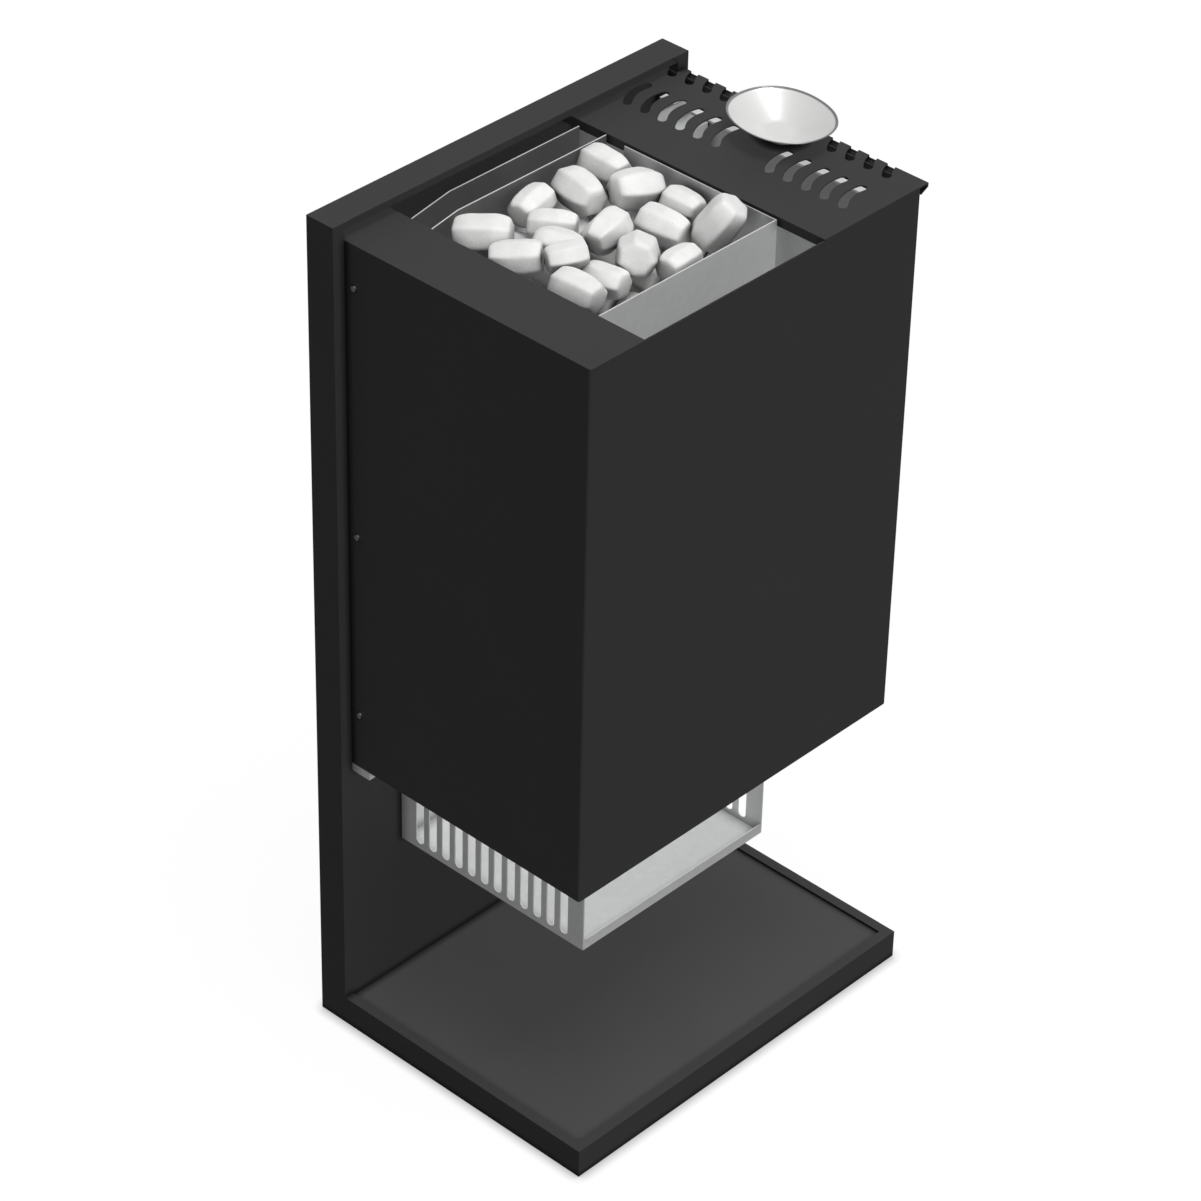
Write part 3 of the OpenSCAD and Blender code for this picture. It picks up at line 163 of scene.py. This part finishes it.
def seenDirectly(tree):
    # 1 for rays from the camera, straight or through something clear, and 0 for all others
    path = addNode(tree, "LightPath").outputs
    return addNode(tree, "Math", {0: path["Is Camera Ray"], 1: path["Is Transmission Ray"]},
                   operation="MAXIMUM")


def lightStudio(s):
    world = bpy.data.worlds.new("studioWorld")
    bpy.context.scene.world = world
    world.use_nodes = True
    tree = world.node_tree
    tree.nodes.clear()
    mirrored = addNode(tree, "LightPath").outputs["Is Glossy Ray"]
    gloss = addNode(tree, "Math", {0: mirrored, 1: s["mirror"]}, operation="MULTIPLY")
    seen = addNode(tree, "Math", {0: seenDirectly(tree), 1: gloss}, operation="MAXIMUM")
    strength = addNode(tree, "MapRange", {"Value": seen, "To Min": s["sky"]})
    light = addNode(tree, "Background", {"Color": "#ffffff", "Strength": strength})
    addNode(tree, "OutputWorld", {"Surface": light})
    for name, (power, towards, soft, shadow, highlights) in s["suns"].items():
        lamp = bpy.data.lights.new(name, "SUN")
        lamp.energy = power
        lamp.angle = math.radians(soft)
        lamp.use_shadow = shadow
        sun = bpy.data.objects.new(name, lamp)
        sun.visible_glossy = highlights
        sun.matrix_world = Vector(towards).to_track_quat("Z", "Y").to_matrix().to_4x4()
        bpy.context.scene.collection.objects.link(sun)


def layFloor(s):
    # a flat disc: radius times (cos, sin) of equal steps of angle
    corners, radius = s["floorCorners"], s["floorRadius"]
    angle = np.linspace(0, 2 * np.pi, corners, endpoint=False)
    rim = np.stack([radius * np.cos(angle), radius * np.sin(angle), np.full(corners, -s["floorDrop"])], 1)
    mesh = bpy.data.meshes.new("studioFloor")
    mesh.from_pydata(rim.tolist(), [], [list(range(corners))])
    floor = bpy.data.objects.new("studioFloor", mesh)
    bpy.context.scene.collection.objects.link(floor)
    material, tree = startMaterial("studioFloorPaper")[:2]
    seen = seenDirectly(tree)
    tone = addNode(tree, "Mix", {"Factor": seen, "A": s["floorForLight"], "B": s["paper"]},
                   data_type="RGBA")
    paper = addNode(tree, "BsdfDiffuse", {"Color": tone})
    # painted contact shadow: the glow darkens near the stand
    near = addNode(tree, "AmbientOcclusion", {"Distance": s["contactReach"]}, samples=16).outputs["AO"]
    power = addNode(tree, "MapRange", {"Value": near, "From Min": s["contactCover"],
                                       "To Min": s["contactShade"], "To Max": s["floorForEye"]})
    glow = addNode(tree, "Emission", {"Color": "#ffffff", "Strength": power})
    share = addNode(tree, "Math", {0: seen, 1: 1 - s["shadowShare"]}, operation="MULTIPLY")
    both = addNode(tree, "MixShader", {0: share, 1: paper, 2: glow})
    addNode(tree, "OutputMaterial", {"Surface": both})
    mesh.materials.append(material)


lightStudio(studio)
layFloor(studio)
print("camera and light placed")

# Finishes of the frame's own parts. Patterns and their depths are in millimetres.

powderCoat = {
    "name": "blackPowderCoat", "tone": "#3f3f40", "lighter": "#404041", "cloud": 90,
    "peel": 1.6, "peelDepth": 0.05, "peelStrength": 0.5,    # real peel is about 0.8 mm, drawn coarser
    "smooth": 0.5, "rough": 0.58, "specular": 0.06,
    "hollows": {"reach": 10, "closed": 0, "opened": 1, "power": 2},
}
# painted light: a lighter copy of the coat for the floor plate
litFloorCoat = powderCoat | {"name": "litFloorPowderCoat", "tone": "#4b4b4c", "lighter": "#4d4d4e"}


def makePowderCoat(p):
    # sheet steel sprayed with fine matte black powder and baked: near-black, a faint orange peel, soft sheen.
    # The floor plate's is a lighter copy: painted light, for the brighter light it gets
    material, tree, place = startMaterial(p["name"])
    cloud = addNode(tree, "TexNoise", {"Vector": place, "Scale": 1000 / p["cloud"], "Detail": 3})
    # painted shade: the coat is painted darker in slots, gaps and corners
    tone = shadeHollows(tree, crossTones(tree, cloud, p["tone"], p["lighter"]), p["hollows"])
    peel = addNode(tree, "TexNoise", {"Vector": place, "Scale": 1000 / p["peel"], "Detail": 2})
    rough = addNode(tree, "MapRange", noiseSpan | {"Value": peel, "To Min": p["smooth"],
                                                   "To Max": p["rough"]})
    bump = addNode(tree, "Bump", {"Height": peel, "Distance": p["peelDepth"] / 1000,
                                  "Strength": p["peelStrength"]})
    coat = addNode(tree, "BsdfPrincipled", {"Base Color": tone, "Roughness": rough, "Normal": bump,
                                            "Specular IOR Level": p["specular"]})
    addNode(tree, "OutputMaterial", {"Surface": coat})
    return material


zincSheet = {
    "name": "galvanisedSheet", "tone": "#d8d9d9", "lighter": "#dedfdf",
    "spangle": 7, "haze": 40, "hazeDepth": 0.04, "hazeStrength": 0.3,
    "low": 0.3, "high": 1.6,            # a crystal's shade and the haze together mostly lie between these
    "smooth": 0.5, "rough": 0.6, "metallic": 0.12,
    "hollows": {"reach": 16, "closed": 0, "opened": 1, "power": 1.2},
}
# painted shade and light: the right shield is a darker copy for the cover's shade; its open top is painted
# bright
shieldSheet = zincSheet | {
    "name": "shadedGalvanisedSheet", "tone": "#c1c2c2", "lighter": "#c6c7c7",
    "top": "#f6f6f6", "topDepth": 0.003, "topBlend": 0.001,
}


def makeZincSheet(p, topHeight=None):
    # hot-dip galvanised sheet: grey zinc crystals a few millimetres wide, each at its own slight tilt
    material, tree, place = startMaterial(p["name"])
    flake = addNode(tree, "TexVoronoi", {"Vector": place, "Scale": 1000 / p["spangle"]}).outputs["Color"]
    shade = addNode(tree, "SeparateColor", {"Color": flake})
    haze = addNode(tree, "TexNoise", {"Vector": place, "Scale": 1000 / p["haze"], "Detail": 3})
    both = addNode(tree, "Math", {0: shade, 1: haze}, operation="ADD")
    tone = crossTones(tree, both, p["tone"], p["lighter"], p["low"], p["high"])
    # painted shade: the zinc is painted darker in slots, gaps and corners
    tone = shadeHollows(tree, tone, p["hollows"])
    # painted light: a band at the top height is painted bright
    if topHeight:
        height = addNode(tree, "SeparateXYZ", {"Vector": place}).outputs["Z"]
        start = topHeight - p["topDepth"]
        tone = crossTones(tree, height, tone, p["top"], start, start + p["topBlend"])
    rough = addNode(tree, "MapRange", {"Value": shade, "To Min": p["smooth"], "To Max": p["rough"]})
    bump = addNode(tree, "Bump", {"Height": haze, "Distance": p["hazeDepth"] / 1000,
                                  "Strength": p["hazeStrength"]})
    zinc = addNode(tree, "BsdfPrincipled", {"Base Color": tone, "Roughness": rough, "Normal": bump,
                                            "Metallic": p["metallic"]})
    addNode(tree, "OutputMaterial", {"Surface": zinc})
    return material


heatDarkened = {
    "tone": "#666668", "lighter": "#6b6a69", "cloud": 60, "grit": 3, "gritDepth": 0.03, "gritStrength": 0.4,
    "cutEdge": "#e6e6e6", "cutDepth": 0.0006, "cutBlend": 0.0004,
    "smooth": 0.38, "rough": 0.6, "metallic": 0.3,
}


def makeHeatDarkened(p, cutHeight):
    # bare steel darkened by heat, faintly clouded; the sheared top edge is bare metal with painted light on
    # top
    material, tree, place = startMaterial("heatDarkenedSteel")
    cloud = addNode(tree, "TexNoise", {"Vector": place, "Scale": 1000 / p["cloud"], "Detail": 4})
    height = addNode(tree, "SeparateXYZ", {"Vector": place}).outputs["Z"]
    start = cutHeight - p["cutDepth"]
    tone = crossTones(tree, cloud, p["tone"], p["lighter"])
    # partly painted light: the sheared top edge is painted bright where light falls on it
    tone = crossTones(tree, height, tone, p["cutEdge"], start, start + p["cutBlend"])
    rough = addNode(tree, "MapRange", noiseSpan | {"Value": cloud, "To Min": p["smooth"],
                                                   "To Max": p["rough"]})
    grit = addNode(tree, "TexNoise", {"Vector": place, "Scale": 1000 / p["grit"], "Detail": 2})
    bump = addNode(tree, "Bump", {"Height": grit, "Distance": p["gritDepth"] / 1000,
                                  "Strength": p["gritStrength"]})
    steel = addNode(tree, "BsdfPrincipled", {"Base Color": tone, "Roughness": rough, "Normal": bump,
                                             "Metallic": p["metallic"]})
    addNode(tree, "OutputMaterial", {"Surface": steel})
    return material


drawnLines = {
    "width": 0.5, "stretch": 0.08, "depth": 0.01, "strength": 0.4,
    "smoother": 0.05, "rougher": 0.06,      # the roughness varies by these
}


def makeDrawnMetal(name, tone, lighter, roughness, metallic=1.0):
    # turned, drawn or rolled metal: fine lines along its length, drawn about twice as wide as real
    p = drawnLines
    material, tree, place = startMaterial(name)
    along = addNode(tree, "Mapping", {"Vector": place, "Scale": (1, 1, p["stretch"])})
    lines = addNode(tree, "TexNoise", {"Vector": along, "Scale": 1000 / p["width"], "Detail": 2})
    tint = crossTones(tree, lines, tone, lighter)
    rough = addNode(tree, "MapRange", noiseSpan | {"Value": lines, "To Min": roughness - p["smoother"],
                                                   "To Max": roughness + p["rougher"]})
    bump = addNode(tree, "Bump", {"Height": lines, "Distance": p["depth"] / 1000,
                                  "Strength": p["strength"]})
    metal = addNode(tree, "BsdfPrincipled", {"Base Color": tint, "Roughness": rough, "Normal": bump,
                                             "Metallic": metallic})
    addNode(tree, "OutputMaterial", {"Surface": metal})
    return material


mouldGrain = {
    "width": 1.2, "depth": 0.02, "strength": 0.4, "cloud": 25,
    "smoother": 0.06, "rougher": 0.08,      # the roughness varies by these
}


def makePlastic(name, tone, lighter, roughness):
    # injection moulded or pressed: one even colour with a slight spark-eroded grain
    p = mouldGrain
    material, tree, place = startMaterial(name)
    fine = addNode(tree, "TexNoise", {"Vector": place, "Scale": 1000 / p["width"], "Detail": 2})
    cloud = addNode(tree, "TexNoise", {"Vector": place, "Scale": 1000 / p["cloud"], "Detail": 2})
    tint = crossTones(tree, cloud, tone, lighter)
    rough = addNode(tree, "MapRange", noiseSpan | {"Value": fine, "To Min": roughness - p["smoother"],
                                                   "To Max": roughness + p["rougher"]})
    bump = addNode(tree, "Bump", {"Height": fine, "Distance": p["depth"] / 1000,
                                  "Strength": p["strength"]})
    body = addNode(tree, "BsdfPrincipled", {"Base Color": tint, "Roughness": rough, "Normal": bump})
    addNode(tree, "OutputMaterial", {"Surface": body})
    return material


elementTube = makeDrawnMetal("scaledElementTube", "#4a4643", "#5b5652", 0.55, 0.5)
slotFinish = {
    "black_steel": makePowderCoat(powderCoat),
    "galvanised": makeZincSheet(zincSheet),
    "heated_steel": makeHeatDarkened(heatDarkened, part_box("outer_rear_shield")[1].z),
    "stainless": makeDrawnMetal("stainlessSteel", "#bdbdbc", "#d3d3d2", 0.34),
    "brass": makeDrawnMetal("plainBrass", "#b28f4a", "#c8a45c", 0.3),
    "copper": makeDrawnMetal("drawnCopper", "#a8633c", "#bd7a50", 0.32),
    "ceramic_insulator": makePlastic("firedInsulator", "#ded7c4", "#ece6d6", 0.6),
    "black_plastic": makePlastic("mouldedBlackPlastic", "#26272a", "#2e2f32", 0.45),
    "float_plastic": makePlastic("mouldedWhiteFloat", "#e7e4d8", "#f1eee4", 0.3),
    "gasket": makePlastic("gasketRubber", "#1f1f20", "#2a2a2b", 0.7),
    "red_lever": makePlastic("dippedRedVinyl", "#8c1f18", "#a12a20", 0.4),
    "red_button": makePlastic("mouldedRedButton", "#a5231c", "#b62f26", 0.3),
}
nodeFinish = {
    "stand_floor_plate": makePowderCoat(litFloorCoat),
    "right_heat_shield": makeZincSheet(shieldSheet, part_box("right_heat_shield")[1].z),
    "stone_grate": elementTube, "heating_element_left": elementTube, "heating_element_middle": elementTube,
    "heating_element_right": elementTube,
}
newPieces = ("sauna_stones", "aroma_bowl")      # made further down, with finishes of their own
for part in frame["record"]["subparts"]:
    if part["node"] not in newPieces:
        materials = nodes[part["node"]].data.materials
        materials.clear()
        materials.append(nodeFinish.get(part["node"], slotFinish[part["material_slot"]]))
print("finishes assigned")


def meshFromGrids(name, points, material):
    # points is pieces x rows x columns x 3: each row joins its own start, the rows are joined in order, and
    # the first and last rows close on a middle point, so a piece takes rows x columns + 2 vertices
    pieces, rows, columns = points.shape[:3]
    poles = np.stack([points[:, 0].mean(1), points[:, -1].mean(1)], 1)
    vertices = np.concatenate([points.reshape(pieces, -1, 3), poles], 1)
    index = np.arange(rows * columns).reshape(rows, columns)
    nextColumn = np.roll(index, -1, 1)
    start = (np.arange(pieces) * (rows * columns + 2))[:, None, None]
    quads = np.stack([index[:-1], nextColumn[:-1], nextColumn[1:], index[1:]], -1).reshape(1, -1, 4) + start
    low = np.stack([np.full(columns, rows * columns), nextColumn[0], index[0]], -1)
    high = np.stack([np.full(columns, rows * columns + 1), index[-1], nextColumn[-1]], -1)
    caps = np.concatenate([low, high])[None] + start
    mesh = bpy.data.meshes.new(name)
    mesh.from_pydata(vertices.reshape(-1, 3).tolist(), [],
                     quads.reshape(-1, 4).tolist() + caps.reshape(-1, 3).tolist())
    mesh.shade_smooth()
    mesh.materials.append(material)
    piece = bpy.data.objects.new(name, mesh)
    bpy.context.scene.collection.objects.link(piece)
    return piece


def turnAndTilt(points, turn, tilt, centre):
    # degrees: the +X end is lifted by tilt, then the whole is swung by turn round the vertical and moved
    turn, tilt = np.radians(turn), np.radians(tilt)
    lift = np.array([[np.cos(tilt), 0, -np.sin(tilt)], [0, 1, 0], [np.sin(tilt), 0, np.cos(tilt)]])
    swing = np.array([[np.cos(turn), -np.sin(turn), 0], [np.sin(turn), np.cos(turn), 0], [0, 0, 1]])
    return points @ (swing @ lift).T + np.array(centre)


# Stones

pile = {
    "across": 4, "layers": 4,
    "lengthShare": 1.02, "widthShare": 0.8,             # a top stone's, of its room's smaller side
    "lowLengthShare": 0.95, "lowWidthShare": 0.684,     # a lower stone's, of its room's depth and width
    "pitch": 1.01,                                      # between layers, in lower stones' widths
    "lowTurn": 7, "turnSteps": (97, 61, 143),           # degrees; the steps along X, Y and Z vary the turns
    "grateGap": 0.0003,                                 # from the grate to the box, all round
    "around": 60, "stations": (0, 0.25, 0.42, 0.58, 0.74, 0.87, 0.95, 0.985, 1), "seed": 11,
    "wear": {
        # each pair is the range that a stone's own value is drawn from, for the sides without its end
        "power": (7, 11), "belly": (0.3, 0.55), "narrow": (0.18, 0.42), "bend": 0.1, "skew": 0.08,
        "least": 0.001, "sides": (6, 9), "rub": 0.06, "full": 1.05, "flat": (0.92, 1),
        "wave": (0.01, 0.025), "waveTwist": 1.3, "ripple": 0.012, "rippleTwist": 4, "phase": (0, 6),
    },
    "finish": {
        "pale": "#fafaf9", "grey": "#ececeb", "cloud": 26, "cloudRoughness": 0.6,
        "speck": "#cdcdcc", "speckLow": 0.62, "speckHigh": 0.76, "speckRoughness": 0.7,
        "grit": 1.8, "bumpShare": 1.5,                      # the bumps' size, of the grit's
        "bumpDepth": 0.35, "bumpStrength": 0.7,
        "roughness": 0.6, "specular": 0.4,
        "hollows": {"reach": 50, "closed": 0.08, "opened": 0.72, "power": 1.1},
    },
    # share of the box's width and depth, rise in stone diameters, turn and tilt in degrees, size
    "top": [
        (0.16, 0.88, 0.55, -55, 5, 1.05), (0.50, 0.96, 0.35, 10, 5, 0.85), (0.69, 0.87, 0.45, -100, 0, 1.0),
        (0.89, 0.93, 0.47, -90, 0, 0.95), (0.44, 0.76, 0.34, -55, 0, 0.90), (0.84, 0.68, 0.54, -15, -10, 1.0),
        (0.14, 0.65, 0.49, -50, 5, 0.95), (0.33, 0.60, 0.43, -70, 0, 0.90), (0.52, 0.51, 0.56, 10, 5, 0.95),
        (0.92, 0.47, 0.35, -90, 0, 0.80), (0.76, 0.42, 0.26, -80, -5, 0.95), (0.23, 0.44, 0.77, -30, 5, 0.75),
        (0.14, 0.27, 0.46, -85, 0, 0.95), (0.30, 0.28, 0.31, -80, 5, 0.85), (0.48, 0.28, 0.53, 220, 20, 1.0),
        (0.58, 0.13, 0.40, 5, 0, 0.80), (0.87, 0.20, 0.58, -50, 55, 1.0),
    ],
}


def makeStoneSurface(p):
    # tumbled olivine-type heater stone: matt, pale grey, cloudy, with sparse darker grains
    material, tree, place = startMaterial("tumbledStone")
    cloud = addNode(tree, "TexNoise", {"Vector": place, "Scale": 1000 / p["cloud"], "Detail": 3,
                                       "Roughness": p["cloudRoughness"]})
    grains = addNode(tree, "TexNoise", {"Vector": place, "Scale": 1000 / p["grit"], "Detail": 3,
                                        "Roughness": p["speckRoughness"]})
    tone = crossTones(tree, cloud, p["grey"], p["pale"])
    tone = crossTones(tree, grains, tone, p["speck"], p["speckLow"], p["speckHigh"])
    # painted shade: the stones are painted darker in the gaps between them
    tone = shadeHollows(tree, tone, p["hollows"])
    pits = addNode(tree, "TexNoise", {"Vector": place, "Scale": 1000 / (p["grit"] * p["bumpShare"]),
                                      "Detail": 4})
    bump = addNode(tree, "Bump", {"Height": pits, "Distance": p["bumpDepth"] / 1000,
                                  "Strength": p["bumpStrength"]})
    stone = addNode(tree, "BsdfPrincipled", {"Base Color": tone, "Roughness": p["roughness"],
                                             "Specular IOR Level": p["specular"], "Normal": bump})
    addNode(tree, "OutputMaterial", {"Surface": stone})
    return material


def wearStones(count, p):
    # a worn barrel of unit length and width. Along it |a|^power + |b|^power = 1, so the ends are flat; past
    # the belly it narrows by 1 - narrow h, where h = (o + sqrt(o^2 + bend^2)) / 2 and o is the way out from
    # the belly, and one end is a little thicker. Round it a polygon of n sides, the mean of
    # r = cos(pi/n) / cos(u mod 2pi/n - pi/n) turned by -rub, 0 and rub; then two slow waves over both
    w = p["wear"]
    random = np.random.default_rng(p["seed"])

    def pick(low, high):
        return random.uniform(low, high, (count, 1, 1))

    stations = np.array(p["stations"])
    a = np.concatenate([-stations[::-1], stations[1:]])[None, :, None]
    u = np.linspace(0, 2 * np.pi, p["around"], endpoint=False)[None, None, :]
    power = pick(*w["power"])
    belly = np.maximum(1 - np.abs(a) ** power, w["least"]) ** (1 / power)
    out = np.abs(a) - pick(*w["belly"])
    belly = belly * (1 - pick(*w["narrow"]) * (out + np.sqrt(out ** 2 + w["bend"] ** 2)) / 2)
    belly = belly * (1 + pick(-w["skew"], w["skew"]) * a)
    sides = random.integers(*w["sides"], (count, 1, 1))
    start = pick(0, 2 * np.pi)
    facet = np.zeros((count, 1, p["around"]))
    for rub in (-w["rub"], 0, w["rub"]):
        corner = np.mod(u + start + rub, 2 * np.pi / sides) - np.pi / sides
        facet = facet + np.cos(np.pi / sides) / np.cos(corner) / 3
    wave = 1 + pick(*w["wave"]) * np.cos(2 * u + w["waveTwist"] * a + pick(*w["phase"]))
    wave = wave + w["ripple"] * np.cos(w["rippleTwist"] * a + u + pick(*w["phase"]))
    radius = w["full"] * belly * facet * wave / 2
    flat = pick(*w["flat"])
    axial = np.broadcast_to(a / 2, radius.shape)
    return np.stack([axial, radius * np.cos(u), radius * np.sin(u) * flat], -1)


def pileStones(p):
    # rows of stones below and loose ones on top, in the same places as the solid model's
    low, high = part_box("stone_grate")
    gap = p["grateGap"]
    x0, y0, floor = low.x - gap, low.y - gap, high.z
    roomX, roomY = high.x - low.x + 2 * gap, high.y - low.y + 2 * gap
    cellX, cellY = roomX / p["across"], roomY / p["across"]
    cell = min(cellX, cellY)
    length, width = cell * p["lengthShare"], cell * p["widthShare"]
    lowLength, lowWidth = cellY * p["lowLengthShare"], cellX * p["lowWidthShare"]
    pitch = lowWidth * p["pitch"]
    stepX, stepY, stepZ = p["turnSteps"]
    places = []
    for k in range(p["layers"]):
        for i in range(p["across"]):
            for j in range(p["across"]):
                turn = 90 + p["lowTurn"] * math.sin(math.radians(stepX * i + stepY * j + stepZ * k))
                centre = (x0 + (i + 0.5) * cellX, y0 + (j + 0.5) * cellY, floor + lowWidth / 2 + k * pitch)
                places.append((lowLength, lowWidth, turn, 0, centre))
    topFloor = floor + p["layers"] * pitch
    for shareX, shareY, rise, turn, tilt, size in p["top"]:
        centre = (x0 + shareX * roomX, y0 + shareY * roomY, topFloor + rise * width)
        places.append((length * size, width * size, turn, tilt, centre))
    worn = wearStones(len(places), p)
    laid = np.stack([turnAndTilt(shape * (long, wide, wide), turn, tilt, centre)
                     for shape, (long, wide, turn, tilt, centre) in zip(worn, places)])
    stones = meshFromGrids("stonePile", laid, makeStoneSurface(p["finish"]))
    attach(stones, "heater")
    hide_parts("sauna_stones")


pileStones(pile)
print("stones piled")

# Bowl

bowl = {
    "length": 0.123, "width": 0.103, "turn": -10, "wall": 0.0018,
    "footShare": 0.33, "footHeight": 0.003, "footRound": 0.0006,
    "curve": 1.05,                                      # 1 gives straight sides, more hollows them
    "oval": 2.16,                                       # 2 gives an ellipse, more fills its corners
    "around": 112, "rows": 14, "firstRow": 0.04, "rimRows": 4,
    "bottomRows": 5, "bottomSpan": (0.9, 0.1),          # shares of the way from the middle to the wall
    # the rim colour is painted shade along the rolled rim
    "steel": "#ebebea", "lighter": "#f1f1f0", "rim": "#8d8d8e", "rimBlendShare": 0.3,
    "lines": 0.6, "lineDepth": 0.01, "lineStrength": 0.3, "roughness": 0.3, "metallic": 0.35,
}


def makeBowlSteel(p, top):
    # spun steel with a satin polish, pale all over; its rolled rim is painted darker, a painted shade line
    material, tree, place = startMaterial("satinBowlSteel")
    lines = addNode(tree, "TexNoise", {"Vector": place, "Scale": 1000 / p["lines"], "Detail": 2})
    height = addNode(tree, "SeparateXYZ", {"Vector": place}).outputs["Z"]
    start = top - p["wall"]
    tone = crossTones(tree, lines, p["steel"], p["lighter"])
    # painted shade: the top of the wall, the rolled rim, is painted darker
    tone = crossTones(tree, height, tone, p["rim"], start, start + p["wall"] * p["rimBlendShare"])
    bump = addNode(tree, "Bump", {"Height": lines, "Distance": p["lineDepth"] / 1000,
                                  "Strength": p["lineStrength"]})
    steel = addNode(tree, "BsdfPrincipled", {"Base Color": tone, "Roughness": p["roughness"],
                                             "Metallic": p["metallic"], "Normal": bump})
    addNode(tree, "OutputMaterial", {"Surface": steel})
    return material


def shapeBowl(p):
    # one closed profile carried round: a foot ring, then R(a) = foot + (R - foot) a with
    # z = foot height + (H - foot height) a^curve, a rolled rim, and the same curve back inside. Round it
    # |x / width|^oval + |y / length|^oval = 1
    low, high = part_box("aroma_bowl")
    height = high.z - low.z
    radius, wall, rise, edge = p["length"] / 2, p["wall"], p["footHeight"], p["footRound"]
    foot = radius * p["footShare"]
    a = np.linspace(p["firstRow"], 1, p["rows"])
    rim = np.linspace(0, np.pi, p["rimRows"] + 2)[1:-1]
    bottom = np.linspace(*p["bottomSpan"], p["bottomRows"])
    r = np.concatenate([[foot - 2 * wall, foot - 2 * wall, foot - wall, foot],
                        foot + (radius - foot) * a,
                        radius - wall / 2 + wall / 2 * np.cos(rim),
                        (foot - wall + (radius - foot) * a)[::-1],
                        bottom * (foot - wall)])
    z = np.concatenate([[rise, edge, 0, edge],
                        rise + (height - wall / 2 - rise) * a ** p["curve"],
                        height - wall / 2 + wall / 2 * np.sin(rim),
                        (rise + wall + (height - wall * 1.5 - rise) * a ** p["curve"])[::-1],
                        np.full(p["bottomRows"], rise + wall)])
    u = np.linspace(0, 2 * np.pi, p["around"], endpoint=False)
    across, along = (np.sign(part) * np.abs(part) ** (2 / p["oval"]) for part in (np.cos(u), np.sin(u)))
    x = r[:, None] * across * p["width"] / p["length"]
    y = r[:, None] * along
    points = np.stack([x, y, np.repeat(z[:, None], len(u), 1)], -1)
    centre = ((low.x + high.x) / 2, (low.y + high.y) / 2, low.z)
    laid = turnAndTilt(points, p["turn"], 0, centre)[None]
    shell = meshFromGrids("ovalBowl", laid, makeBowlSteel(p, high.z))
    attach(shell, "bowl")
    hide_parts("aroma_bowl")


shapeBowl(bowl)
print("bowl shaped")

bpy.context.scene.view_settings.view_transform = "Standard"
bpy.context.view_layer.update()
